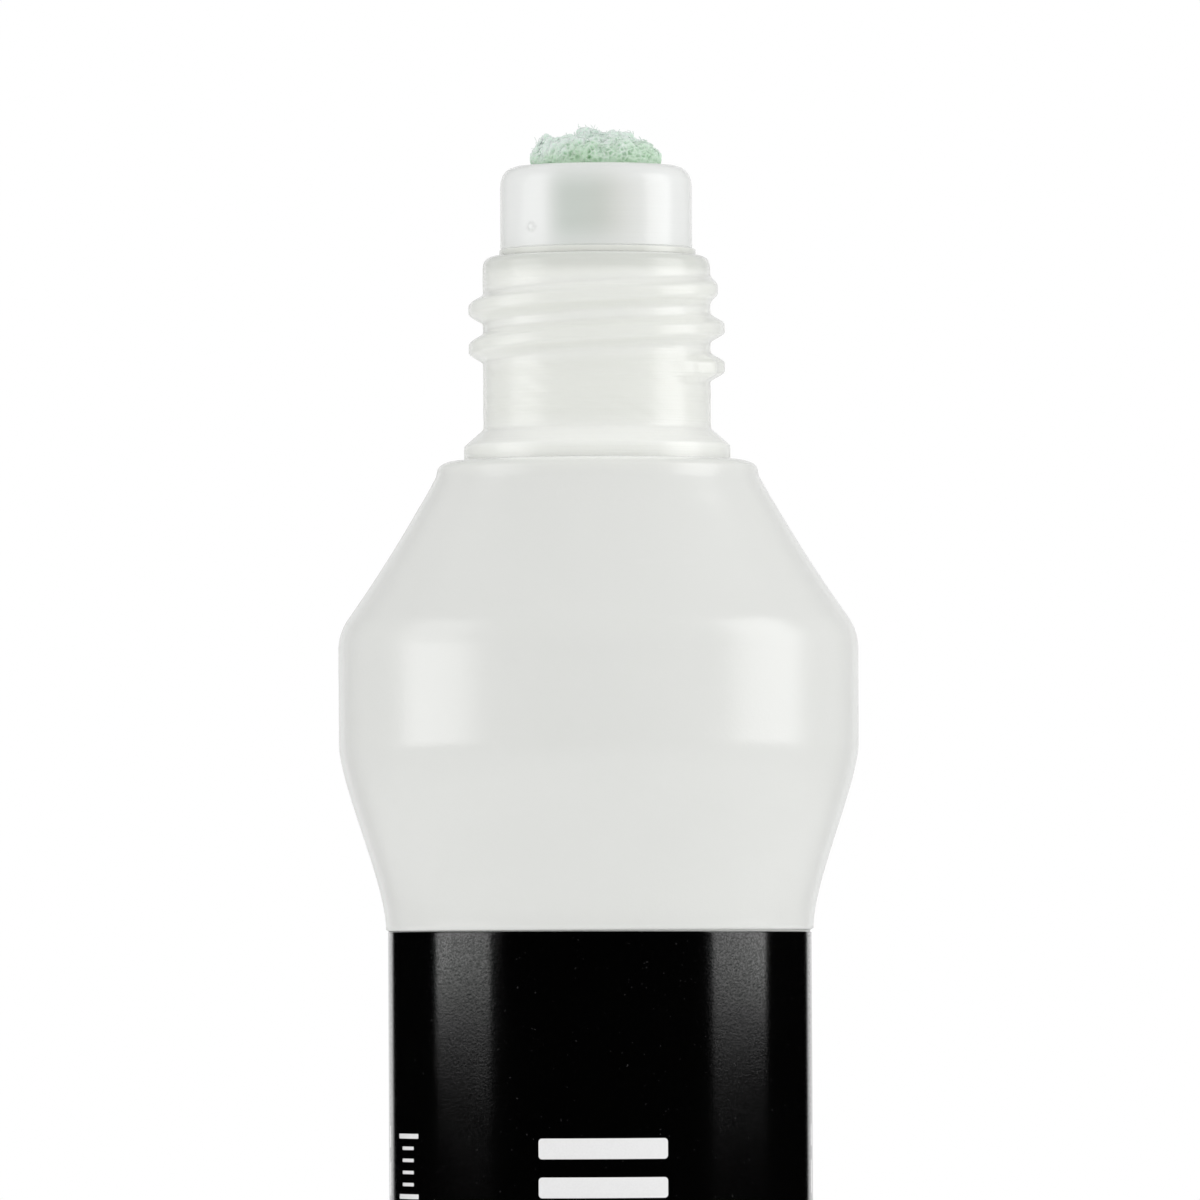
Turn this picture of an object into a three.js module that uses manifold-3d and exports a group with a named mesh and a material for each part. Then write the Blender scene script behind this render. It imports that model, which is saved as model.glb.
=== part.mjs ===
// Empty refillable squeeze marker, standing upright with its cap off.
// Lengths are in millimetres. +Z is up, and the origin is the centre of the foot, on the ground.
// Every round surface is turned about Z, so a profile is a list of (radius, height) points.

import * as THREE from 'three';
import { mergeVertices } from 'three/addons/utils/BufferGeometryUtils.js';
import Module from 'manifold-3d';

const wasm = await Module();
wasm.setup();

// Facets round every turned piece
const SEGMENTS = 36;
// Steps along each small round and each long curve of a profile
const ROUND_STEPS = 4;
const CURVE_STEPS = 8;

// Bottle: grip panel, a little below the surface of the foot and of the waist
const PANEL_RADIUS = 17.45;
const PANEL_STEP_HEIGHT = 0.2;
const LABEL_LENGTH = 76;
const LABEL_MARGIN = 0.1;

// Bottle: foot
const FOOT_PROUD = 0.35;
const FOOT_HEIGHT = 7.7;
const FOOT_ROUND = 2.4;
const STANDING_RING_WIDTH = 3.8;
const PUSH_UP = 1.2;
const PUSH_UP_SLOPE_WIDTH = 2.6;
const PINCH_LENGTH = 13;
const PINCH_WIDTH = 0.8;
const PINCH_DEPTH = 0.5;

// Bottle: waist, bulge and shoulder
const WAIST_PROUD = 0.3;
const WAIST_HEIGHT = 15.5;
const WAIST_PULL_LOW = 0.25;
const WAIST_PULL_HIGH = 0.22;
const BULGE_RADIUS = 21.63;
const BULGE_HEIGHT = 7.8;
const BULGE_ROUND = 4.5;
const SHOULDER_HEIGHT = 14.4;
const CONE_TOP_RADIUS = 13.4;
const CONE_HOLLOW = 0.25;
const EDGE_RADIUS = 13.3;
const EDGE_WALL_HEIGHT = 0.45;
const EDGE_ROUND_HEIGHT = 0.85;
const LAND_WIDTH = 0.9;

// Bottle: neck
const COLLAR_RADIUS = 11.04;
const COLLAR_HEIGHT = 1.25;
const COLLAR_CONE_HEIGHT = 1.4;
const NECK_RADIUS = 9.42;
const NECK_LENGTH = 14.45;
const RIM_ROUND = 1.05;
const BORE_RADIUS = 7.8;

// Bottle: walls
const BODY_WALL = 1.1;
const BASE_WALL = 1.3;
const SHOULDER_WALL = 1.4;
const THROAT_ROUND = 1.6;

// Thread on the neck: angles are degrees about Z from +X
const THREAD_RADIUS = 10.62;
const THREAD_PITCH = 3.25;
const THREAD_START_ANGLE = -52;
const THREAD_TURNS = 2.22;
const THREAD_START_DROP = 9.8;
const THREAD_RUN_IN = 22;
const THREAD_RUN_OUT = 55;
const THREAD_ROOT_WIDTH = 2.7;
const THREAD_CREST_WIDTH = 0.95;
const THREAD_SINK = 0.3;
const THREAD_STEP = 10;

// Label: a wrapped film with its end lapped over its start at the back
const LABEL_FILM = 0.15;
const LABEL_CLEARANCE = 0.05;
const LABEL_LAP_ANGLE = 20;

// Tip holder: a plug in the bore, with a cup that stands above the rim
const PLUG_CLEARANCE = 0.2;
const PLUG_DEPTH = 9.4;
const PLUG_NOSE = 0.5;
const BEAD_CLEARANCE = 0.05;
const BEAD_HEIGHT = 0.9;
const BEAD_DEPTHS = [2.6, 5.6];
const RIM_SEAT_GAP = 0.03;
const FLANGE_RADIUS = 8.3;
const FLANGE_THICKNESS = 0.55;
const CUP_RADIUS = 8.0;
const CUP_HEIGHT = 7.47;
const CUP_ROUND = 1.8;
const CUP_BORE_RADIUS = 6.3;
const LIP_THICKNESS = 1.7;
const LIP_RADIUS = 5.56;
const LIP_CHAMFER = 0.25;
const GRID_THICKNESS = 1.4;
const GRID_DEPTH = 4.6;
const GRID_RIB_WIDTH = 1.1;
const GRID_RIBS = 3;
const GRID_ROOTING = 0.5;

// Foam tip
const FOAM_CLEARANCE = 0.1;
const FOAM_SEAT_GAP = 0.03;
const FOAM_CROWN_HEIGHT = 2.9;
const FOAM_CROWN_RINGS = 8;
const FOAM_LUMP = 0.22;

// Mixing ball
const BALL_RADIUS = 4;
const BALL_CLEARANCE = 0.3;

// Places that follow from the sizes
const FOOT_RADIUS = PANEL_RADIUS + FOOT_PROUD;
const RING_INNER_RADIUS = FOOT_RADIUS - FOOT_ROUND - STANDING_RING_WIDTH;
const PANEL_BOTTOM_Z = FOOT_HEIGHT + PANEL_STEP_HEIGHT;
const LABEL_BOTTOM_Z = PANEL_BOTTOM_Z + LABEL_MARGIN;
const LABEL_TOP_Z = LABEL_BOTTOM_Z + LABEL_LENGTH;
const PANEL_TOP_Z = LABEL_TOP_Z + LABEL_MARGIN;
const WAIST_Z = PANEL_TOP_Z + PANEL_STEP_HEIGHT;
const BULGE_Z = WAIST_Z + WAIST_HEIGHT;
const SHOULDER_Z = BULGE_Z + BULGE_HEIGHT;
const CONE_TOP_Z = SHOULDER_Z + SHOULDER_HEIGHT;
const LAND_Z = CONE_TOP_Z + EDGE_WALL_HEIGHT + EDGE_ROUND_HEIGHT;
const NECK_Z = LAND_Z + COLLAR_HEIGHT + COLLAR_CONE_HEIGHT;
const RIM_Z = NECK_Z + NECK_LENGTH;
const FLANGE_Z = RIM_Z + RIM_SEAT_GAP;
const CUP_TOP_Z = FLANGE_Z + CUP_HEIGHT;
const GRID_TOP_Z = FLANGE_Z - GRID_DEPTH;
const LIP_Z = CUP_TOP_Z - LIP_THICKNESS;

const PLASTIC_MILKY = { color: 0xdedfdc, roughness: 0.42, metalness: 0 };
const PLASTIC_HOLDER = { color: 0xe4e6e4, roughness: 0.38, metalness: 0 };
const FILM_BLACK = { color: 0x060606, roughness: 0.33, metalness: 0 };
const FOAM_GREEN = { color: 0xb4d6c1, roughness: 0.95, metalness: 0 };
const STEEL_BRIGHT = { color: 0xb9bcc0, roughness: 0.18, metalness: 1 };

/** Points of an elliptical arc about (r, z), with both angles in degrees from outwards. */
function arcPoints(r, z, sizeR, sizeZ, fromAngle, toAngle) {
  return Array.from({ length: ROUND_STEPS + 1 }, (_, i) => {
    const angle = THREE.MathUtils.degToRad(fromAngle + ((toAngle - fromAngle) * i) / ROUND_STEPS);
    return new THREE.Vector2(r + sizeR * Math.cos(angle), z + sizeZ * Math.sin(angle));
  });
}

/** A profile point. */
function at(r, z) {
  return new THREE.Vector2(r, z);
}

/** The profile moved by a distance to its left, with each corner mitred. */
function insetProfile(points, distance) {
  const directions = points.slice(1).map((point, i) => point.clone().sub(points[i]).normalize());
  return points.map((point, i) => {
    const before = directions[Math.max(i - 1, 0)];
    const after = directions[Math.min(i, directions.length - 1)];
    const normalSum = at(-before.y - after.y, before.x + after.x);
    return point.clone().addScaledVector(normalSum, distance / (1 + before.dot(after)));
  });
}

/** The closed body that a profile makes when it is turned about Z. */
function turned(points) {
  const geometry = new THREE.LatheGeometry(points, SEGMENTS);
  return geometry.rotateX(Math.PI / 2);
}

/** A closed mesh as a solid that can be joined and cut. */
function solidFrom(geometry) {
  const positions = new THREE.BufferGeometry();
  positions.setAttribute('position', geometry.getAttribute('position').clone());
  positions.setIndex(geometry.getIndex());
  const merged = mergeVertices(positions);
  const corners = merged.getIndex().array;
  const triangles = [];
  for (let i = 0; i < corners.length; i += 3) {
    const [a, b, c] = corners.slice(i, i + 3);
    if (a !== b && b !== c && c !== a) {
      triangles.push(a, b, c);
    }
  }
  return new wasm.Manifold(new wasm.Mesh({
    numProp: 3,
    vertProperties: Float32Array.from(merged.getAttribute('position').array),
    triVerts: Uint32Array.from(triangles),
  }));
}

/** A solid's surface as a geometry. */
function geometryFrom(solid) {
  const mesh = solid.getMesh();
  const geometry = new THREE.BufferGeometry();
  geometry.setAttribute('position', new THREE.BufferAttribute(mesh.vertProperties, 3));
  geometry.setIndex(new THREE.BufferAttribute(mesh.triVerts, 1));
  geometry.computeVertexNormals();
  return geometry;
}

/** The outside from the foot's round up to the top of the shoulder's cone. */
function bodyProfile() {
  const ringOuter = FOOT_RADIUS - FOOT_ROUND;
  const coneLean = Math.atan2(
    BULGE_RADIUS - CONE_TOP_RADIUS + 4 * CONE_HOLLOW,
    SHOULDER_HEIGHT,
  );
  const roundTop = at(
    BULGE_RADIUS - BULGE_ROUND * (1 - Math.cos(coneLean)),
    SHOULDER_Z + BULGE_ROUND * Math.sin(coneLean),
  );
  return [
    ...arcPoints(ringOuter, FOOT_ROUND, FOOT_ROUND, FOOT_ROUND, -90, 0),
    at(FOOT_RADIUS, FOOT_HEIGHT),
    at(PANEL_RADIUS, PANEL_BOTTOM_Z),
    at(PANEL_RADIUS, PANEL_TOP_Z),
    ...waistPoints(),
    ...arcPoints(
      BULGE_RADIUS - BULGE_ROUND, SHOULDER_Z, BULGE_ROUND, BULGE_ROUND,
      0, THREE.MathUtils.radToDeg(coneLean),
    ),
    ...conePoints(roundTop, at(CONE_TOP_RADIUS, CONE_TOP_Z)),
  ];
}

/** The waist: a curve that leaves the grip and meets the bulge upright. */
function waistPoints() {
  const waistRadius = PANEL_RADIUS + WAIST_PROUD;
  const curve = new THREE.CubicBezierCurve(
    at(waistRadius, WAIST_Z),
    at(waistRadius, WAIST_Z + WAIST_PULL_LOW * WAIST_HEIGHT),
    at(BULGE_RADIUS, BULGE_Z - WAIST_PULL_HIGH * WAIST_HEIGHT),
    at(BULGE_RADIUS, BULGE_Z),
  );
  return curve.getPoints(CURVE_STEPS);
}

/** The cone above the bulge, slightly hollow, without its first point. */
function conePoints(low, high) {
  const middle = low.clone().lerp(high, 0.5);
  middle.x -= 2 * CONE_HOLLOW;
  return new THREE.QuadraticBezierCurve(low, middle, high).getPoints(CURVE_STEPS / 2).slice(1);
}

/** The outside from the shoulder's edge over the collar and neck to the bore's mouth. */
function neckProfile() {
  const landRadius = COLLAR_RADIUS + LAND_WIDTH;
  return [
    ...arcPoints(landRadius, LAND_Z - EDGE_ROUND_HEIGHT, EDGE_RADIUS - landRadius, EDGE_ROUND_HEIGHT, 0, 90),
    at(COLLAR_RADIUS, LAND_Z),
    at(COLLAR_RADIUS, LAND_Z + COLLAR_HEIGHT),
    at(NECK_RADIUS, NECK_Z),
    ...arcPoints(NECK_RADIUS - RIM_ROUND, RIM_Z - RIM_ROUND, RIM_ROUND, RIM_ROUND, 0, 90),
    at(BORE_RADIUS, RIM_Z),
  ];
}

/** The inside from the bore down through the throat, then down the body's wall to the floor. */
function insideProfile(body) {
  const wall = insetProfile(body.slice(ROUND_STEPS), BODY_WALL).reverse();
  const floorRound = FOOT_ROUND - BODY_WALL;
  return [
    ...arcPoints(
      BORE_RADIUS + THROAT_ROUND, LAND_Z - SHOULDER_WALL + THROAT_ROUND,
      THROAT_ROUND, THROAT_ROUND, 180, 270,
    ),
    ...wall.slice(0, -1),
    ...arcPoints(
      FOOT_RADIUS - BODY_WALL - floorRound, BASE_WALL + floorRound, floorRound, floorRound, 0, -90,
    ),
    at(RING_INNER_RADIUS, BASE_WALL),
    at(RING_INNER_RADIUS - PUSH_UP_SLOPE_WIDTH, BASE_WALL + PUSH_UP),
    at(0, BASE_WALL + PUSH_UP),
  ];
}

/** How much of the thread's height stands at a distance in degrees from its start. */
function threadRise(gone, sweep) {
  const easedIn = THREE.MathUtils.smoothstep(gone, 0, THREAD_RUN_IN);
  const easedOut = 1 - THREE.MathUtils.smoothstep(gone, sweep - THREAD_RUN_OUT, sweep);
  return Math.min(easedIn, easedOut);
}

/** The right-handed thread, rooted in the neck's wall, fading out at both ends. */
function threadGeometry() {
  const sweep = THREAD_TURNS * 360;
  const steps = Math.round(sweep / THREAD_STEP);
  const rootRadius = NECK_RADIUS - THREAD_SINK;
  const flank = (THREAD_ROOT_WIDTH + THREAD_CREST_WIDTH) / 4;
  const section = [
    [-THREAD_ROOT_WIDTH / 2, 0],
    [-flank, 0.72],
    [-THREAD_CREST_WIDTH / 2, 1],
    [THREAD_CREST_WIDTH / 2, 1],
    [flank, 0.72],
    [THREAD_ROOT_WIDTH / 2, 0],
  ];
  const positions = [];
  for (let i = 0; i <= steps; i += 1) {
    const gone = (sweep * i) / steps;
    const angle = THREE.MathUtils.degToRad(THREAD_START_ANGLE + gone);
    const z = RIM_Z - THREAD_START_DROP + (THREAD_PITCH * gone) / 360;
    const height = (THREAD_RADIUS - rootRadius) * THREE.MathUtils.lerp(0.1, 1, threadRise(gone, sweep));
    for (const [offset, share] of section) {
      const r = rootRadius + height * share;
      positions.push(r * Math.cos(angle), r * Math.sin(angle), z + offset);
    }
  }
  return sweptGeometry(positions, section.length);
}

/** Closed body through rings of equal size, with both end rings capped. */
function sweptGeometry(positions, ringSize) {
  const rings = positions.length / 3 / ringSize;
  const triangles = [];
  for (let i = 0; i < rings - 1; i += 1) {
    for (let j = 0; j < ringSize; j += 1) {
      const a = i * ringSize + j;
      const b = i * ringSize + ((j + 1) % ringSize);
      triangles.push(a, a + ringSize, b, b, a + ringSize, b + ringSize);
    }
  }
  const last = (rings - 1) * ringSize;
  for (let j = 1; j < ringSize - 1; j += 1) {
    triangles.push(0, j, j + 1);
    triangles.push(last, last + j + 1, last + j);
  }
  const geometry = new THREE.BufferGeometry();
  geometry.setAttribute('position', new THREE.Float32BufferAttribute(positions, 3));
  geometry.setIndex(triangles);
  return geometry;
}

/** The seam that the mould's pinch leaves under the base, hanging from the push-up. */
function pinchGeometry() {
  const rooting = BASE_WALL / 2;
  const bead = new THREE.BoxGeometry(PINCH_LENGTH, PINCH_WIDTH, PINCH_DEPTH + rooting);
  return bead.translate(0, 0, PUSH_UP + (rooting - PINCH_DEPTH) / 2);
}

/** The blow-moulded bottle with its thread and base seam. */
function bottleGeometry() {
  const body = bodyProfile();
  const shell = turned([
    at(0, PUSH_UP),
    at(RING_INNER_RADIUS - PUSH_UP_SLOPE_WIDTH, PUSH_UP),
    at(RING_INNER_RADIUS, 0),
    ...body,
    ...neckProfile(),
    ...insideProfile(body),
  ]);
  return geometryFrom(
    solidFrom(shell).add(solidFrom(threadGeometry())).add(solidFrom(pinchGeometry())),
  );
}

/** Radius of the label's inner face. */
function labelInnerRadius() {
  return PANEL_RADIUS + LABEL_CLEARANCE;
}

/** The label: one film thick all round, and two where it laps. */
function labelGeometry() {
  const inner = labelInnerRadius();
  const lapFacets = Math.max(1, Math.round((LABEL_LAP_ANGLE / 360) * SEGMENTS));
  const lapStart = Math.round((SEGMENTS - lapFacets) / 2);
  const outline = [];
  const hole = [];
  for (let i = 0; i < SEGMENTS; i += 1) {
    const angle = -Math.PI / 2 + (2 * Math.PI * i) / SEGMENTS;
    const direction = at(Math.cos(angle), Math.sin(angle));
    const lapped = i >= lapStart && i <= lapStart + lapFacets;
    outline.push(direction.clone().multiplyScalar(inner + LABEL_FILM * (lapped ? 2 : 1)));
    hole.push(direction.clone().multiplyScalar(inner));
  }
  const section = new THREE.Shape(outline);
  section.holes.push(new THREE.Path(hole));
  const film = new THREE.ExtrudeGeometry(section, { depth: LABEL_LENGTH, bevelEnabled: false });
  return film.translate(0, 0, LABEL_BOTTOM_Z);
}

/** A raised sealing bead on the plug's sleeve, as profile points from its top to its foot. */
function beadPoints(depth) {
  const plugRadius = BORE_RADIUS - PLUG_CLEARANCE;
  const crestRadius = BORE_RADIUS - BEAD_CLEARANCE;
  const z = RIM_Z - depth;
  return [
    at(plugRadius, z - BEAD_HEIGHT / 2),
    at(crestRadius, z - BEAD_HEIGHT / 6),
    at(crestRadius, z + BEAD_HEIGHT / 6),
    at(plugRadius, z + BEAD_HEIGHT / 2),
  ];
}

/** The holder's turned wall: plug, flange, cup and lip. */
function holderWall() {
  const plugRadius = BORE_RADIUS - PLUG_CLEARANCE;
  const noseZ = RIM_Z - PLUG_DEPTH;
  const beads = [...BEAD_DEPTHS].sort((a, b) => b - a).flatMap(beadPoints);
  const outside = [
    at(CUP_BORE_RADIUS, noseZ),
    at(plugRadius - PLUG_NOSE, noseZ),
    at(plugRadius, noseZ + 2 * PLUG_NOSE),
    ...beads,
    at(plugRadius, FLANGE_Z),
    at(FLANGE_RADIUS, FLANGE_Z),
    at(FLANGE_RADIUS, FLANGE_Z + FLANGE_THICKNESS),
    at(CUP_RADIUS, FLANGE_Z + FLANGE_THICKNESS),
    ...arcPoints(CUP_RADIUS - CUP_ROUND, CUP_TOP_Z - CUP_ROUND, CUP_ROUND, CUP_ROUND, 0, 90),
    at(LIP_RADIUS + LIP_CHAMFER, CUP_TOP_Z),
    at(LIP_RADIUS, CUP_TOP_Z - LIP_CHAMFER),
    at(LIP_RADIUS, LIP_Z),
    at(CUP_BORE_RADIUS, LIP_Z),
    at(CUP_BORE_RADIUS, noseZ),
  ];
  return turned(outside);
}

/** One rib across the cup, under the foam. */
function gridRib(index) {
  const length = 2 * (CUP_BORE_RADIUS + GRID_ROOTING);
  const rib = new THREE.BoxGeometry(length, GRID_RIB_WIDTH, GRID_THICKNESS);
  rib.rotateZ((Math.PI * index) / GRID_RIBS);
  return rib.translate(0, 0, GRID_TOP_Z - GRID_THICKNESS / 2);
}

/** The holder's wall joined with the ribs that carry the foam. */
function holderGeometry() {
  let holder = solidFrom(holderWall());
  for (let i = 0; i < GRID_RIBS; i += 1) {
    holder = holder.add(solidFrom(gridRib(i)));
  }
  return geometryFrom(holder);
}

/** Height of the foam's crown over the cup's top at a share of its radius: steep edge, round top. */
function crownHeight(share) {
  return FOAM_CROWN_HEIGHT * (1 - share ** 2.5) ** 0.4;
}

/** The foam: a stepped plug held under the lip, with a lumpy crown. */
function foamGeometry() {
  const baseRadius = CUP_BORE_RADIUS - FOAM_CLEARANCE;
  const neckRadius = LIP_RADIUS - FOAM_CLEARANCE;
  const crown = Array.from({ length: FOAM_CROWN_RINGS + 1 }, (_, i) => {
    const share = Math.sin((Math.PI / 2) * (1 - i / FOAM_CROWN_RINGS));
    return at(neckRadius * share, CUP_TOP_Z + crownHeight(share));
  });
  const foam = turned([
    at(0, GRID_TOP_Z + FOAM_SEAT_GAP),
    at(baseRadius, GRID_TOP_Z + FOAM_SEAT_GAP),
    at(baseRadius, LIP_Z - FOAM_SEAT_GAP),
    at(neckRadius, LIP_Z - FOAM_SEAT_GAP),
    ...crown,
  ]);
  return lumpyCrown(foam, neckRadius);
}

/** Raises and lowers the crown by two crossed waves that die away at its edge. */
function lumpyCrown(foam, neckRadius) {
  const position = foam.getAttribute('position');
  for (let i = 0; i < position.count; i += 1) {
    const [x, y, z] = [position.getX(i), position.getY(i), position.getZ(i)];
    const share = Math.min(Math.hypot(x, y) / neckRadius, 1);
    if (z > CUP_TOP_Z) {
      const wave = Math.sin((9.5 * x) / neckRadius + 0.6) * Math.cos((11 * y) / neckRadius - 0.4);
      position.setZ(i, z + FOAM_LUMP * wave * (1 - share ** 4));
    }
  }
  return foam;
}

/** The steel ball, lying in the groove round the bottle's floor, clear of the grip's wall. */
function ballGeometry() {
  const ball = new THREE.SphereGeometry(BALL_RADIUS, 20, 12).rotateX(Math.PI / 2);
  const offset = PANEL_RADIUS - BODY_WALL - BALL_RADIUS - BALL_CLEARANCE;
  return ball.translate(offset, 0, BASE_WALL + BALL_RADIUS + BALL_CLEARANCE);
}

/** A named sub-part. */
function piece(name, geometry, finish) {
  const mesh = new THREE.Mesh(geometry, new THREE.MeshStandardMaterial(finish));
  mesh.name = name;
  return mesh;
}

const marker = new THREE.Group();
marker.add(
  piece('bottle', bottleGeometry(), PLASTIC_MILKY),
  piece('label', labelGeometry(), FILM_BLACK),
  piece('tip_holder', holderGeometry(), PLASTIC_HOLDER),
  piece('foam_tip', foamGeometry(), FOAM_GREEN),
  piece('mixing_ball', ballGeometry(), STEEL_BRIGHT),
);

export default marker;
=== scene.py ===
# %% [markdown]
# # An empty squeeze marker
#
# A soft plastic bottle with a threaded neck, a black film wrapped round its grip, a plug pressed
# into the neck, and a coarse green foam tip that stands out of the plug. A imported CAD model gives
# the sizes. This lesson works out each visible surface with numpy, as whole arrays, puts it into a
# mesh, and gives it a finish made of shader nodes.

# %% Load the frame
import math

import bpy
import numpy as np
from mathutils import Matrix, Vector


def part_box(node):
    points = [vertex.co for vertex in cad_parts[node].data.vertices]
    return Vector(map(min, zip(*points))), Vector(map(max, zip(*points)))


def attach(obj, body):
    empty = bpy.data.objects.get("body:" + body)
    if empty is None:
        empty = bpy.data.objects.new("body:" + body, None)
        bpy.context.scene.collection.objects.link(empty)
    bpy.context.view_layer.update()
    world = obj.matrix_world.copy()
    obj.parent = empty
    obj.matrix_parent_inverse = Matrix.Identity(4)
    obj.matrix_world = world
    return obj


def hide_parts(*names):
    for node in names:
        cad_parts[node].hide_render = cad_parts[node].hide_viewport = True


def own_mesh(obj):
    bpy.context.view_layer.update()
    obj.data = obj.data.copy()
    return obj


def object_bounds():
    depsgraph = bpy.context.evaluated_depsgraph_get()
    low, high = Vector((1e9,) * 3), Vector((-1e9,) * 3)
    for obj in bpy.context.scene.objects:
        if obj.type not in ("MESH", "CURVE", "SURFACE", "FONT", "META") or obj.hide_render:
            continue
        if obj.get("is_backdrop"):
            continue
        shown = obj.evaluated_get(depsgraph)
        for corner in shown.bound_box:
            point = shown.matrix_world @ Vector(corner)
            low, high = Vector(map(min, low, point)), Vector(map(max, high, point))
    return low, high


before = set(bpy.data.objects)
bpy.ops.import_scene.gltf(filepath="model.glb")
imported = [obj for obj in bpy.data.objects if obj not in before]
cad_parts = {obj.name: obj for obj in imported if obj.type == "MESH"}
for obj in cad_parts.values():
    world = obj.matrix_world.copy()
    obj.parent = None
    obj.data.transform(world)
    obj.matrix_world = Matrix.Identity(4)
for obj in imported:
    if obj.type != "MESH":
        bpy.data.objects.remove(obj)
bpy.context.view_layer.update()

# %% [markdown]
# ## Sizes
#
# Blender works in metres here, and a marker is small, so lengths are written in millimetres times
# MM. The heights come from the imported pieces, so each new surface stays where its CAD solid is.

# %% Heights and radii that several pieces share
MM = 0.001
rng = np.random.default_rng(11)

LABEL_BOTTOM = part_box("label")[0].z
LABEL_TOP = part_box("label")[1].z
LABEL_RADIUS = -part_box("label")[0].x
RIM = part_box("bottle")[1].z
CUP_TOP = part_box("tip_holder")[1].z
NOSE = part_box("tip_holder")[0].z
FOAM_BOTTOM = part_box("foam_tip")[0].z
print("label top, rim and cup top, mm:", [round(1000 * h, 2) for h in (LABEL_TOP, RIM, CUP_TOP)])

# %% [markdown]
# ## Camera
#
# The photograph was taken from about 1.2 m with a long lens, from the height of the label's upper
# edge, tilted up a little. At that distance 100 mm fills the picture's width. A turn of a third of
# a degree about the line of sight gives the marker the slight lean that it has in the photograph.

# %% Make the camera
CAMERA_DISTANCE = 1.2
FIELD_WIDTH = 100 * MM
FRAME_CENTRE_HEIGHT = LABEL_TOP + 27.7 * MM
EYE_HEIGHT = LABEL_TOP - 3.1 * MM
SENSOR_WIDTH = 36
CAMERA_ROLL = math.radians(0.3)


def make_camera():
    """A camera in front of the marker, at eye height, turned up to the middle of the picture."""
    data = bpy.data.cameras.new("photo_camera")
    data.sensor_width = SENSOR_WIDTH
    data.lens = SENSOR_WIDTH * CAMERA_DISTANCE / FIELD_WIDTH
    data.clip_start = 0.05
    data.clip_end = 20
    camera = bpy.data.objects.new("photo_camera", data)
    camera.location = (0, -CAMERA_DISTANCE, EYE_HEIGHT)
    tilt = math.atan2(FRAME_CENTRE_HEIGHT - EYE_HEIGHT, CAMERA_DISTANCE)
    camera.rotation_euler = (math.pi / 2 + tilt, CAMERA_ROLL, 0)
    bpy.context.collection.objects.link(camera)
    return camera


bpy.context.scene.camera = make_camera()
bpy.context.scene.view_settings.view_transform = "Standard"
print("lens, mm:", round(bpy.context.scene.camera.data.lens, 1))

# %% [markdown]
# ## Profiles and turned surfaces
#
# Nearly every piece is round: a profile of (radius, height) points carried round the Z axis. A
# profile starts as a few corners. Each is rounded by a fillet, as a mould maker rounds it, and
# long stretches are cut into short ones so that a surface can bend there. Blender's Screw modifier
# could spin an outline too. A grid of points was chosen because a formula can then move any row or
# column of it: that is how the thread, the parting line and the label's lap are made.

# %% Profile helpers
def rounded(corners, steps=6):
    """Corner points (radius, height, fillet) in mm as a smooth profile in metres. A fillet's arc
    is drawn as a quadratic curve that leaves one side and joins the next at fillet * tan(half
    the turn) from the corner."""
    corners = np.array(corners, float)
    points = [corners[0, :2]]
    for before, corner, after in zip(corners[:-2], corners[1:-1], corners[2:]):
        way_in = corner[:2] - before[:2]
        way_out = after[:2] - corner[:2]
        way_in /= np.linalg.norm(way_in)
        way_out /= np.linalg.norm(way_out)
        turn = math.acos(np.clip(way_in @ way_out, -1, 1))
        reach = corner[2] * math.tan(turn / 2)
        if reach < 1e-6:
            points.append(corner[:2])
            continue
        start = corner[:2] - way_in * reach
        end = corner[:2] + way_out * reach
        t = np.linspace(0, 1, steps + 1)[:, None]
        points.extend(start * (1 - t) ** 2 + 2 * corner[:2] * t * (1 - t) + end * t**2)
    points.append(corners[-1, :2])
    return np.array(points) * MM


def bezier(a, b, c, d, steps):
    """Cubic curve from a to d that leaves towards b and arrives from c, in mm."""
    t = np.linspace(0, 1, steps + 1)[:, None]
    a, b, c, d = (np.array(p, float) for p in (a, b, c, d))
    return a * (1 - t) ** 3 + 3 * b * t * (1 - t) ** 2 + 3 * c * t**2 * (1 - t) + d * t**3


BESIDE_FILLET = 0.06 * MM
LONG_STRETCH = 0.7 * MM


def spaced(profile, longest):
    """The same profile with every stretch longer than `longest` cut into equal parts. A long
    stretch also gets a row close to each end, which keeps a fillet's shading off the flat."""
    pieces = []
    for a, b in zip(profile[:-1], profile[1:]):
        length = np.linalg.norm(b - a)
        parts = max(math.ceil(length / longest), 1)
        share = np.arange(parts) / parts
        if length > LONG_STRETCH:
            near_end = BESIDE_FILLET / length
            share = np.sort(np.append(share, (near_end, 1 - near_end)))
        pieces.append(a + (b - a) * share[:, None])
    return np.concatenate([*pieces, profile[-1:]])


def even_angles(count):
    """Angles evenly round a circle, from 0."""
    return np.arange(count) * 2 * math.pi / count


def turned(profile, angles):
    """Grid of points: profile point i carried to angle j, x = r cos a, y = r sin a, z = height."""
    radius = profile[:, 0, None]
    height = profile[:, 1, None]
    return np.stack(
        [radius * np.cos(angles), radius * np.sin(angles), height + 0 * angles], axis=-1
    )


def push_out(grid, angles, growth):
    """Moves the points of a turned grid straight away from the axis."""
    grid[..., 0] += growth * np.cos(angles)
    grid[..., 1] += growth * np.sin(angles)


# %% [markdown]
# A grid becomes a mesh when its squares are listed by the numbers of their corners. Where a profile
# starts or ends on the axis, the whole row is one point, so it is merged into a pole with a fan of
# triangles round it. That keeps the surface closed, and its volume can be measured as a check.

# %% Mesh helpers
def grid_faces(rows, columns, closed):
    """Corner numbers of the squares of a grid whose columns wrap round. With closed, the last row
    joins the first."""
    row = np.arange(rows if closed else rows - 1)[:, None]
    column = np.arange(columns)[None, :]
    above = (row + 1) % rows
    beside = (column + 1) % columns
    corners = [row * columns + column, row * columns + beside]
    corners += [above * columns + beside, above * columns + column]
    return np.stack(corners, axis=-1).reshape(-1, 4)


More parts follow.
